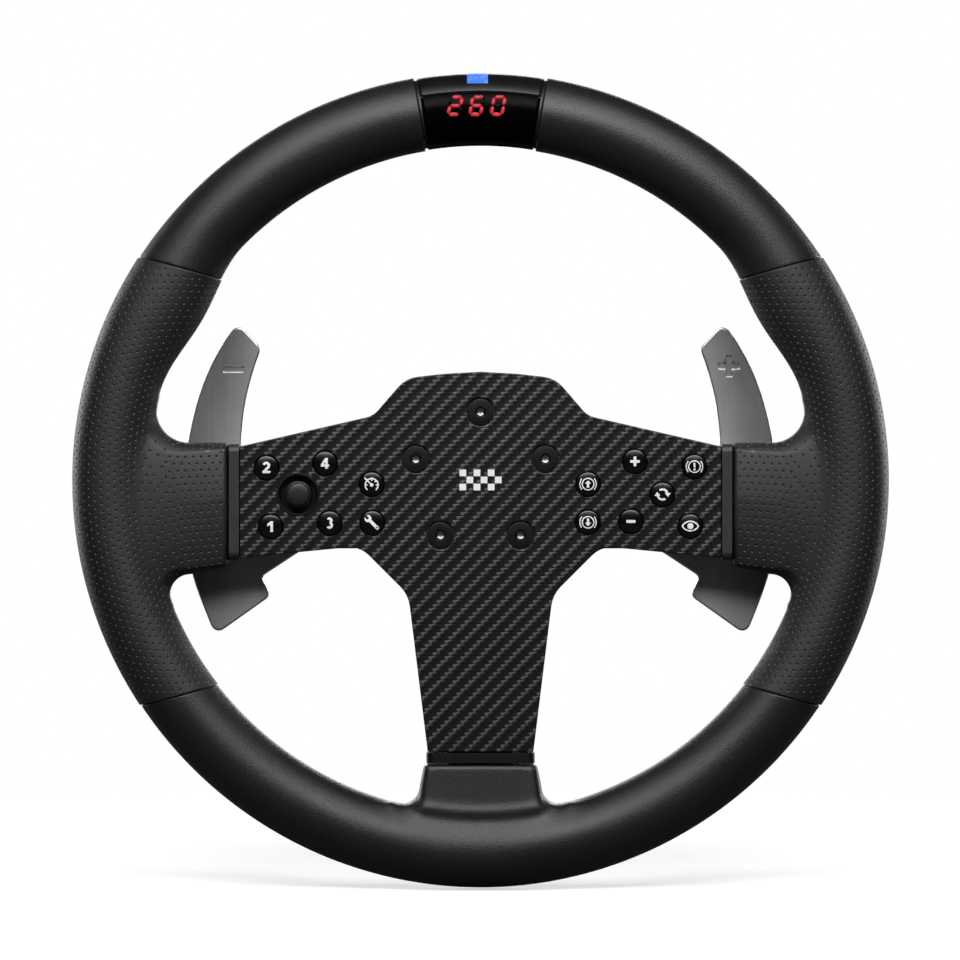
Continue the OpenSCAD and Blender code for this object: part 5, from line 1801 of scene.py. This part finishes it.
# %% [markdown]
# The bezel and the pod's back are one shell. Seen from its end it is a C: the bezel comes round the
# outer side, ends in a lip at 62 degrees towards the driver, and leaves room for the window.

# %% Bezel and back shell
POD_R, POD_STEPS = 13.3, 28
SHELL_FROM, LIP_AT, WINDOW_FROM, WINDOW_TO = -182, 62.0, 65.5, 170.0
WINDOW_R, SHELL_IN, SHELL_FOOT = POD_R - 0.55, 8.0, 9.5
shell_section = rounded([
    *arc_points(POD_R, SHELL_FROM, LIP_AT, 45)[:-1], (*at(POD_R, LIP_AT), 0.5),
    (*at(WINDOW_R - 0.3, LIP_AT + 3), 0.2), (*at(SHELL_FOOT, LIP_AT), 0.2),
    *arc_points(SHELL_IN, LIP_AT, SHELL_FROM, 12), (*at(SHELL_FOOT, SHELL_FROM), 0.2),
])
add_piece(
    "pod_shell", *swept(shell_section, -POD_HALF, POD_HALF, POD_STEPS), bezel_black,
    stands_for=["display_housing"], slot="pod_plastic",
)

# %% [markdown]
# Between the pod and the skins lies a narrow groove, and the groove needs a floor. Two short necks
# of slightly smaller tube give it one, black and matt, as on the real part.

# %% Necks under the grooves
neck_section = arc_points(POD_R - 0.6, 0, 355, 72)
neck_from, neck_to = POD_HALF - 0.5, POD_HALF + 0.6
for side, a, b in (("left", -neck_to, -neck_from), ("right", neck_from, neck_to)):
    add_piece("pod_neck_" + side, *swept(neck_section, a, b, 2), ring_black, slot="pod_plastic")

# %% [markdown]
# The window is a thin curved plate that sits a little lower than the bezel. It needs almost no
# mirror gloss: what makes it look deep is that it stays black where everything round it is grey.

# %% Window
WINDOW_IN, WINDOW_HALF = WINDOW_R - 1.2, POD_HALF - 0.03
window_section = rounded([
    at(WINDOW_IN, WINDOW_FROM - 1), (*at(WINDOW_R - 0.05, WINDOW_FROM), 0.25),
    *arc_points(WINDOW_R, WINDOW_FROM + 1.5, WINDOW_TO - 2, 26),
    (*at(WINDOW_R, WINDOW_TO), 0.3), at(WINDOW_IN, WINDOW_TO),
    *arc_points(WINDOW_IN, WINDOW_TO - 4, WINDOW_FROM + 3, 20),
])
add_piece(
    "pod_window", *swept(window_section, -WINDOW_HALF, WINDOW_HALF, POD_STEPS), window_black,
    stands_for=["display_window"], slot="dark_window",
)

# %% [markdown]
# Three seven-segment digits show a speed. A segment is a short bar with pointed ends, and the
# digits lean ten degrees. The segments that are off stay just visible as dark grey shapes. They
# could shine through glass from inside, but dark glass needs many samples to look clean, so they
# follow the window's curve a hair above it.

# %% Digits
DIGIT_TALL, DIGIT_WIDE, STROKE, LEAN = 6.4, 4.0, 1.25, math.radians(10)
DIGIT_PITCH, DIGIT_Z, DIGIT_SHIFT = 7.85, 137.0, -1.4
SEGMENT_ROUND, SEGMENT_DEEP = 0.16, 0.35
LIT = {"2": "abged", "6": "afgedc", "0": "abcdef"}
half_w, half_t = DIGIT_WIDE / 2, DIGIT_TALL / 2
SEGMENTS = (
    {name: ((-half_w, z), (half_w, z)) for name, z in (("a", half_t), ("g", 0), ("d", -half_t))}
)
for upper, lower, x in (("f", "e", -half_w), ("b", "c", half_w)):
    SEGMENTS[upper], SEGMENTS[lower] = ((x, half_t), (x, 0)), ((x, 0), (x, -half_t))


def segment(name):
    a, b = (np.array(v, float) for v in SEGMENTS[name])
    way = (b - a) / np.linalg.norm(b - a)
    side = np.array([-way[1], way[0]]) * STROKE / 2
    a, b = a + way * SEGMENT_ROUND, b - way * SEGMENT_ROUND
    tip = way * STROKE / 2
    corners = (a, a + tip - side, b - tip - side, b, b - tip + side, a + tip + side, a)
    return rounded([(*p, SEGMENT_ROUND) for p in corners], 2)[:-1]


def digits_mesh(lit, lift):
    points, faces = [], []
    for place, digit in enumerate("260"):
        for name in "abcdefg":
            if (name in LIT[digit]) != lit:
                continue
            loop = counterclockwise(segment(name))
            fine = evened(loop, 0.5)
            x = fine[:, 0] + fine[:, 1] * math.tan(LEAN) + (place - 1) * DIGIT_PITCH + DIGIT_SHIFT
            z = fine[:, 1] + DIGIT_Z
            front = RIM_Y - np.sqrt((WINDOW_R + lift) ** 2 - (np.hypot(x, z) - PATH_R) ** 2)
            start, n = len(points), len(fine)
            for deep in (0.0, SEGMENT_DEEP):
                points += np.stack([x, front + deep, z], 1).tolist()
            face = list(range(start, start + n))
            faces += [face, *band(face, [i + n for i in face], True)]
    return np.array(points), faces


segment_off = moulded("unlit_segments", 0.0018, 0.003, 0.35, Specular_IOR_Level=0.1)
add_piece(
    "lit_digits", *digits_mesh(True, 0.05), red_light, stands_for=["display_digits"],
    slot="red_digits",
)
add_piece("unlit_digits", *digits_mesh(False, 0.03), segment_off, slot="dark_window")

# %% [markdown]
# The light is a clear lens set into the bezel, lit blue from below. It is a block whose section
# follows the bezel from the top of the rim towards the driver, so it sits flush in the curve.

# %% Light lens
LENS_R, LENS_STEPS = POD_R + 0.12, 9
light_low, light_high = low("display_light"), high("display_light")


def lens_mesh():
    section = rounded([
        (POD_R - 4.0, 0.2), *arc_points(LENS_R, 0, 47, 17), (*at(LENS_R, 47.5), 0.4),
        (POD_R - 4.6, at(POD_R, 44)[1]),
    ], 3)
    points = []
    for x in np.linspace(light_low[0] + 0.05, light_high[0] - 0.7, LENS_STEPS):
        for out, toward in section:
            points.append([x, RIM_Y - toward, math.sqrt((PATH_R + out) ** 2 - x * x)])
    return np.array(points), lofted(LENS_STEPS, len(section))


add_piece("pod_light", *lens_mesh(), blue_light, stands_for=["display_light"], slot="blue_light")

# %% [markdown]
# ## Paddles
# The paddles are sheet metal, blasted to a satin grey. Their colour carries painted light and
# shade: paler towards the inner side of each blade and towards the bottom of the lower lobes,
# darker next to the grip and under the spoke. Painting that by hand would need a picture, so it
# is a formula of the place on the blade: the distance to a slanted line along its outer side.

# %% Blasted metal with painted light, and its bright edge
def blasted_metal(name, dark, light):
    """Satin metal with painted light: paler towards the inner side of each blade and lower down."""
    skin = Finish(name, Metallic=1.0)
    x, _, z = skin.xyz()
    outer = (z * -0.376 + 113.0).least(z * 0.375 + 119.5)
    # Painted light: the colour grows paler away from the outer side of each blade, and darker next to the
    # grip.
    painted_light_inward = ((outer - x.size()) / 20.0).ramp(0.0, 1.0) ** 1.4
    grain, broad = skin.noise(0.25, 2.0), skin.noise(16.0, 3.0)
    streaks = skin.noise(1.6, 2.0, skin.stretched(1.0, 1.0, 0.06))
    # Painted light and shade: the lower lobes are painted paler towards their bottom and darker under the
    # spoke.
    lower = (z * -1.0).ramp(32.0, 50.0)
    share = painted_light_inward * 0.72 + lower * 0.4 + broad * 0.2 + streaks * 0.16 + grain * 0.08 - 0.2
    skin.set(
        Base_Color=skin.blend(share.ramp(0.0, 1.0), dark, light),
        Roughness=grain * 0.08 + broad * 0.1 + 0.42,
    )
    skin.bump(grain, 0.01)
    return skin.material


paddle_metal = blasted_metal("blasted_metal", (0.15, 0.153, 0.157), (0.44, 0.445, 0.45))
paddle_edge = brushed(
    "rubbed_paddle_edge", (0.55, 0.555, 0.56), (0.78, 0.785, 0.79), 0.34, tall=0.008
)
print("paddle finishes:", paddle_metal.name, paddle_edge.name)

# %% [markdown]
# The blades are lasered from sheet and their edges broken with a small chamfer that shines. The
# outline comes from the frame, so the paddle and its joint stay together. `eased` smooths the
# outline's long sides, where the frame's straight pieces would show in the chamfer, and leaves the
# real corners alone. A minus and a plus are milled into the upper lobes as shallow pockets.

# %% Outlines, chamfer and milled signs
MILLED_DEEP = 0.7
PADDLE_EDGE = ((0.62, 0.0), (0.54, 0.02), (0.18, 0.2), (0.08, 0.32), (0.0, 0.6))


def cross_outline(arm, half):
    return np.array([
        (-half, -arm), (half, -arm), (half, -half), (arm, -half), (arm, half), (half, half),
        (half, arm), (-half, arm), (-half, half), (-arm, half), (-arm, -half), (-half, -half),
    ])


def eased(loop, step=1.2, rounds=60):
    """The outline with its long sides as flowing lines; its real corners keep their shape."""
    closed = np.concatenate([loop, loop[:1]])
    length = np.concatenate([[0], np.cumsum(np.linalg.norm(np.diff(closed, axis=0), axis=1))])
    spots = np.linspace(0, length[-1], round(length[-1] / step) + 1)[:-1]
    even = np.stack([np.interp(spots, length, closed[:, i]) for i in (0, 1)], 1)
    ahead, behind = np.roll(even, -5, 0) - even, even - np.roll(even, 5, 0)
    across = ahead[:, 0] * behind[:, 1] - ahead[:, 1] * behind[:, 0]
    bend = np.abs(np.arctan2(across, (ahead * behind).sum(1)))
    free = (bend < math.radians(24)).astype(float)
    free = np.minimum.reduce([np.roll(free, k) for k in (-2, -1, 0, 1, 2)])
    for _ in range(rounds):
        pull = (np.roll(even, 1, 0) + np.roll(even, -1, 0)) / 2 - even
        even = even + pull * 0.5 * free[:, None]
    return even


def edge_marks(points, faces):
    """1 for each face that doesn't look straight forward or back."""
    corners = np.array([[points[i] for i in face[:3]] for face in faces])
    normal = np.cross(corners[:, 1] - corners[:, 0], corners[:, 2] - corners[:, 0])
    return (np.abs(normal[:, 1]) < 0.94 * np.linalg.norm(normal, axis=1)).astype(int)


MINUS = np.array([(-3.8, -1.15), (3.8, -1.15), (3.8, 1.15), (-3.8, 1.15)])
PLUS = cross_outline(4.0, 1.15)
for side, sign, spot in (("left", MINUS, (-91.8, 41.2)), ("right", PLUS, (92.4, 42.4))):
    node = "paddle_blade_" + side
    front, back = low(node)[1], high(node)[1]
    loops = front_loops(node, front)
    pocket = evened(sign, 0.8) + spot
    holes = [evened(hole, 0.6) for hole in loops[1:]]
    mesh = slab(eased(loops[0]), holes, front, back, PADDLE_EDGE, [pocket], MILLED_DEEP)
    flat_looking(add_piece(
        "shift_" + node, *mesh, [paddle_metal, paddle_edge], "paddle_" + side, [node],
        "paddle_metal", edge_marks(*mesh),
    ))

# %% [markdown]
# ## The parts that keep their construction shape
# Cover, shifters, quick release and screws already have the right shape, so they stay, but their
# edges are perfectly sharp, which no moulding or machining leaves, and their curves are shaded in
# facets. Modifiers cure both without touching the meshes: Weld joins the split points, Bevel breaks
# every edge with a small round, and a tiny node tool shades smooth wherever two faces meet at less
# than thirty degrees.

# %% Soft edges and smooth curves by modifier
smoother = bpy.data.node_groups.new("smooth_by_angle", "GeometryNodeTree")
smoother.interface.new_socket("Geometry", in_out="INPUT", socket_type="NodeSocketGeometry")
smoother.interface.new_socket("Geometry", in_out="OUTPUT", socket_type="NodeSocketGeometry")
shape_in, shape_out = smoother.nodes.new("NodeGroupInput"), smoother.nodes.new("NodeGroupOutput")
angle = smoother.nodes.new("GeometryNodeInputMeshEdgeAngle")
gentle = smoother.nodes.new("FunctionNodeCompare")
gentle.operation = "LESS_THAN"
gentle.inputs[1].default_value = math.radians(30)
faces_smooth = smoother.nodes.new("GeometryNodeSetShadeSmooth")
edges_smooth = smoother.nodes.new("GeometryNodeSetShadeSmooth")
edges_smooth.domain = "EDGE"
smoother.links.new(angle.outputs[0], gentle.inputs[0])
smoother.links.new(shape_in.outputs[0], faces_smooth.inputs[0])
smoother.links.new(faces_smooth.outputs[0], edges_smooth.inputs[0])
smoother.links.new(gentle.outputs[0], edges_smooth.inputs["Shade Smooth"])
smoother.links.new(edges_smooth.outputs[0], shape_out.inputs[0])


def dressed(node, material, edge=0.0):
    """Gives a frame node its finish, rounded edges of the given width in mm, and smooth curves."""
    thing = frame["nodes"][node]
    for slot in thing.material_slots:
        slot.link = "OBJECT"
        slot.material = material
    weld = thing.modifiers.new("weld", "WELD")
    weld.merge_threshold = 0.002 * MM
    if edge:
        bevel = thing.modifiers.new("edge", "BEVEL")
        bevel.width, bevel.segments = edge * MM, 2
        bevel.limit_method, bevel.angle_limit = "ANGLE", math.radians(35)
        bevel.use_clamp_overlap = True
    tool = thing.modifiers.new("smooth", "NODES")
    tool.node_group = smoother
    thing.modifiers.new("flat faces", "WEIGHTED_NORMAL").keep_sharp = True


print("the smoothing tool has", len(smoother.nodes), "nodes")

# %% [markdown]
# The finishes behind the wheel are quieter: grained cover plastic, cast and black-anodised alloy,
# turned and ground steel, fibreglass board, gold-plated pins. Turned metal shows fine rings about
# its axis, so its noise is stretched round the steering axis by using the distance from it.

# %% Finishes for the back and the inside
def turned_metal(name, dark, light, rough, ring=0.35, tall=0.006):
    skin = Finish(name, Metallic=1.0)
    x, y, z = skin.xyz()
    rings = ((x * x + z * z) ** 0.5 + y) / ring
    wobble = skin.noise(3.0, 2.0)
    groove = (rings + wobble * 1.6).part().hump()
    broad = skin.noise(12.0, 3.0)
    skin.set(
        Base_Color=skin.blend((broad * 0.7 + groove * 0.3).ramp(0.2, 0.9), dark, light),
        Roughness=(groove * 0.08 + broad * 0.12 + (rough - 0.1)),
    )
    skin.bump(groove, tall)
    return skin.material


def circuit_board(name):
    skin = Finish(name, Roughness=0.35, Specular_IOR_Level=0.5)
    x, _, z = skin.xyz()
    bend = skin.noise(14.0, 1.0)
    lines = ((x + z + bend * 9.0) / 1.6).part().hump().ramp(0.75, 0.85)
    tracks = lines * ((x - z + bend * 14.0) / 11.0).part().ramp(0.35, 0.4)
    shade = skin.blend(
        skin.noise(0.4, 2.0).ramp(0.3, 0.7), (0.006, 0.035, 0.016), (0.009, 0.05, 0.022)
    )
    skin.set(Base_Color=skin.blend(tracks * 0.7, shade, (0.02, 0.11, 0.045)))
    skin.bump(tracks, 0.03)
    return skin.material


cover_plastic = moulded("cover_plastic", 0.009, 0.018, 0.5, 0.45, 0.05)
cover_screw = moulded(
    "cover_screw_steel", (0.02, 0.02, 0.02), (0.05, 0.048, 0.045), 0.32, 0.25, 0.008, Metallic=0.7
)
cast_alloy = moulded("cast_black_alloy", 0.012, 0.026, 0.46, 0.35, 0.03)
# Painted shade: the bottom collar is the same plastic as the side collars, painted much darker because it
# sits low, away from the light from above.
collar_dark = moulded(
    "collar_dark", (0.0012, 0.0012, 0.0013), (0.003, 0.003, 0.0032), 0.42, 0.35, 0.02,
    Specular_IOR_Level=0.3,
)
body_alloy = turned_metal("release_body_alloy", (0.1, 0.1, 0.103), (0.17, 0.17, 0.174), 0.36)
ring_alloy = turned_metal(
    "release_ring_alloy", (0.022, 0.022, 0.023), (0.045, 0.045, 0.047), 0.34, 0.5, 0.01
)
spring_steel = brushed(
    "spring_steel", (0.45, 0.45, 0.46), (0.68, 0.68, 0.69), 0.26, (6.0, 6.0, 1.0)
)
ball_steel = brushed("ball_steel", (0.7, 0.7, 0.71), (0.86, 0.86, 0.87), 0.12)
core_steel = brushed("core_steel", (0.2, 0.2, 0.205), (0.34, 0.34, 0.345), 0.42, tall=0.01)
arm_metal = brushed(
    "arm_metal", (0.12, 0.122, 0.124), (0.2, 0.202, 0.205), 0.44, (1.0, 1.0, 5.0), 0.008
)
pin_gold = brushed("pin_gold", (0.75, 0.5, 0.16), (0.95, 0.7, 0.3), 0.2)
connector_ivory = moulded("connector_ivory", (0.55, 0.5, 0.4), (0.66, 0.61, 0.5), 0.45)
switch_grey = moulded("switch_grey", 0.05, 0.09, 0.4)
board_green = circuit_board("circuit_board")
print("finishes in all:", len(bpy.data.materials))

# %% [markdown]
# The spring behind the sliding ring is a helix of round wire whose end turns lie close, as on any
# compression spring. A screw modifier could wind it, but the pitch has to change along its length,
# so the turns are laid out in code. It stays with the wheel.

# %% A compression spring
spring_low, spring_high = low("quick_release_spring"), high("quick_release_spring")
WIRE_R, SPRING_TURNS, CLOSE_PITCH = 1.0, 5.5, 2.04


def spring_mesh(steps=44, sides=14):
    coil_r = spring_high[0] - WIRE_R
    start, end = spring_low[1] + WIRE_R, spring_high[1] - WIRE_R
    turn = np.linspace(0, SPRING_TURNS, round(SPRING_TURNS * steps) + 1)
    open_pitch = (end - start - 2 * CLOSE_PITCH) / (SPRING_TURNS - 2)
    along = [0, CLOSE_PITCH, CLOSE_PITCH + open_pitch * (SPRING_TURNS - 2), end - start]
    y = start + np.interp(turn, [0, 1, SPRING_TURNS - 1, SPRING_TURNS], along)
    points = []
    for a, level in zip(turn * 2 * math.pi, y):
        for b in even_turns(sides):
            r = coil_r + WIRE_R * math.cos(b)
            points.append([r * math.cos(a), level + WIRE_R * math.sin(b), r * math.sin(a)])
    return np.array(points), lofted(len(turn), sides, True)


spring = add_piece(
    "release_spring", *spring_mesh(), spring_steel, stands_for=["quick_release_spring"],
    slot="bright_steel",
)
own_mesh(spring)

# %% [markdown]
# The rest of the frame's parts get a finish and a width for their broken edges, in millimetres.
# Cast and moulded parts have generous edges, machined ones small ones, and balls and boards none.
# The last line lists any part that was forgotten.

# %% Dress the frame's own parts
DRESS = {
    "rear_cover": (cover_plastic, 0.5), "cover_screws": (cover_screw, 0.12),
    "shifter_base_screws": (cover_screw, 0.12), "shifter_pins": (bright_steel, 0.1),
    "shifter_switches": (switch_grey, 0.12), "tact_switches": (switch_grey, 0.12),
    "quick_release_body": (body_alloy, 0.25), "quick_release_ring": (ring_alloy, 0.3),
    "quick_release_balls": (ball_steel, 0.0), "retaining_ring": (core_steel, 0.08),
    "connector_block": (connector_ivory, 0.15), "connector_pins": (pin_gold, 0.05),
    "main_board": (board_green, 0.0), "display_board": (board_green, 0.0),
    "rim_core": (core_steel, 0.3), "joystick_base": (well_black, 0.15),
    "joystick_gimbal": (well_black, 0.1), "joystick_stick": (switch_grey, 0.1),
    # the bottom collar's finish is painted shade: the side collars' plastic, made darker
    "spoke_collar_bottom": (collar_dark, 0.35),
}
for side in ("_left", "_right"):
    DRESS |= {
        "shifter_base" + side: (cast_alloy, 0.35), "paddle_arm" + side: (arm_metal, 0.3),
        "paddle_screws" + side: (cover_screw, 0.12), "spoke_collar" + side: (collar_black, 0.35),
    }
for node, (finish, edge) in DRESS.items():
    dressed(node, finish, edge)
print("frame parts dressed:", len(DRESS))
bare = [n for n in frame["nodes"] if n not in DRESS and not frame["nodes"][n].hide_render]
print("frame parts still bare:", bare)

# %% [markdown]
# ## Studio
# A plain white studio: one large soft lamp above and in front, two tall strips beside the wheel
# that draw its outer edges, and a weak broad fill from the driver's side. The white behind the
# wheel costs no light: rays that go straight to the eye, or through glass, see a white world, and
# mirror-like rays see it behind the wheel.

# %% Lamps
def aimed(thing, place, target):
    thing.location = place
    thing.rotation_mode = "QUATERNION"
    thing.rotation_quaternion = (Vector(target) - Vector(place)).to_track_quat("-Z", "Y")
    bpy.context.scene.collection.objects.link(thing)
    return thing


def soft_lamp(name, place, wide, tall, watts, target=(0, RIM_Y * MM, 0)):
    lamp = bpy.data.lights.new(name, "AREA")
    lamp.shape, lamp.size, lamp.size_y, lamp.energy = "RECTANGLE", wide, tall, watts
    thing = aimed(bpy.data.objects.new(name, lamp), place, target)
    thing.visible_camera = False


soft_lamp("key_softbox", (0.0, -1.27, 0.8), 1.3, 0.55, 18)
soft_lamp("top_strip", (0.0, -0.42, 0.62), 1.0, 0.3, 3)
soft_lamp("left_strip", (-1.15, 0.96, 0.0), 0.5, 1.3, 14)
soft_lamp("right_strip", (1.15, 0.96, 0.0), 0.5, 1.3, 14)
soft_lamp("back_fill", (0.0, 2.2, 0.5), 1.4, 1.2, 20)
print("lamps:", len(bpy.data.lights))

# %% [markdown]
# The room is the world's background. As a source of light it is a dim grey, so that the lamps alone
# shape the wheel.

# %% The white room
ROOM = 0.03
world = bpy.data.worlds.new("white_studio")
bpy.context.scene.world = world
world.use_nodes = True
sky = world.node_tree
path = sky.nodes.new("ShaderNodeLightPath")
direction = sky.nodes.new("ShaderNodeSeparateXYZ")
sky.links.new(sky.nodes.new("ShaderNodeTexCoord").outputs["Generated"], direction.inputs[0])
behind = Num(sky, direction.outputs["Y"]).ramp(0.85, 1.0)
seen = Num(sky, path.outputs["Is Camera Ray"]).most(Num(sky, path.outputs["Is Transmission Ray"]))
seen = seen.most(Num(sky, path.outputs["Is Glossy Ray"]) * behind)
room = sky.nodes["Background"]
room.inputs["Color"].default_value = (1.0, 1.0, 1.0, 1.0)
plug(sky, room.inputs["Strength"], seen * (1.0 - ROOM) + ROOM)
bpy.context.scene.view_settings.view_transform = "Standard"
print("light from the room:", ROOM)

# %% [markdown]
# The floor is a pale matt sheet that the rim stands on. Near the wheel it shows the wheel's soft
# shadow. Further off it fades into the white of the room, so there is no horizon. The fade is a
# matter of distance from the wheel, so it looks the same from any side.

# %% Floor
FADE_FROM, FADE_TO, SHADE_LIFT, FLOOR_GAP = 220.0, 620.0, 0.45, 0.6
floor_finish = Finish("pale_floor", Roughness=0.9, Specular_IOR_Level=0.1)
fx, fy, _ = floor_finish.xyz()
far = ((fx * fx + fy * fy) ** 0.5).ramp(FADE_FROM, FADE_TO)
flecks = floor_finish.noise(4.0, 3.0)
floor_path = Num(
    floor_finish.tree, floor_finish.new("ShaderNodeLightPath").outputs["Is Camera Ray"]
)
pale = floor_finish.blend(flecks.ramp(0.3, 0.7), 0.78, 0.8)
floor_finish.set(Base_Color=floor_finish.blend(floor_path, 0.07, pale))
glow = floor_finish.new("ShaderNodeEmission", {"Strength": 1.0})
lit = floor_finish.new("ShaderNodeEmission")
plug(floor_finish.tree, lit.inputs["Strength"], floor_path * SHADE_LIFT)
lit_floor = {0: floor_finish.shader.outputs[0], 1: lit.outputs[0]}
near_floor = floor_finish.new("ShaderNodeAddShader", lit_floor)
faded = floor_finish.new("ShaderNodeMixShader")
for port, value in enumerate((far * floor_path, near_floor.outputs[0], glow.outputs[0])):
    plug(floor_finish.tree, faded.inputs[port], value)
surface = floor_finish.tree.nodes["Material Output"].inputs["Surface"]
plug(floor_finish.tree, surface, faded.outputs[0])

floor_mesh = bpy.data.meshes.new("floor")
bm = bmesh.new()
bmesh.ops.create_grid(bm, x_segments=12, y_segments=12, size=1.5)
bm.to_mesh(floor_mesh)
bm.free()
floor_mesh.materials.append(floor_finish.material)
floor = bpy.data.objects.new("floor", floor_mesh)
bpy.context.scene.collection.objects.link(floor)
floor.location = (0, RIM_Y * MM, -(RIM_R + FLOOR_GAP) * MM)
print("the floor lies", round(RIM_R + FLOOR_GAP, 1), "mm below the axis")

# %% [markdown]
# The camera looks straight along the steering axis from nearly two metres away through a long
# lens, so the wheel is seen almost without perspective.

# %% Camera
lens = bpy.data.cameras.new("camera")
FOCAL, SENSOR, VIEW_WIDE, VIEW_SHIFT = 200, 36, 0.3535, -0.0002
lens.lens, lens.sensor_width, lens.clip_end = FOCAL, SENSOR, 50
camera = bpy.data.objects.new("camera", lens)
away = VIEW_WIDE * FOCAL / SENSOR
aimed(camera, (VIEW_SHIFT, (RIM_Y * MM) - away, 0), (VIEW_SHIFT, 0, 0))
bpy.context.scene.camera = camera
print("camera at", [round(v, 3) for v in camera.location])

# %% [markdown]
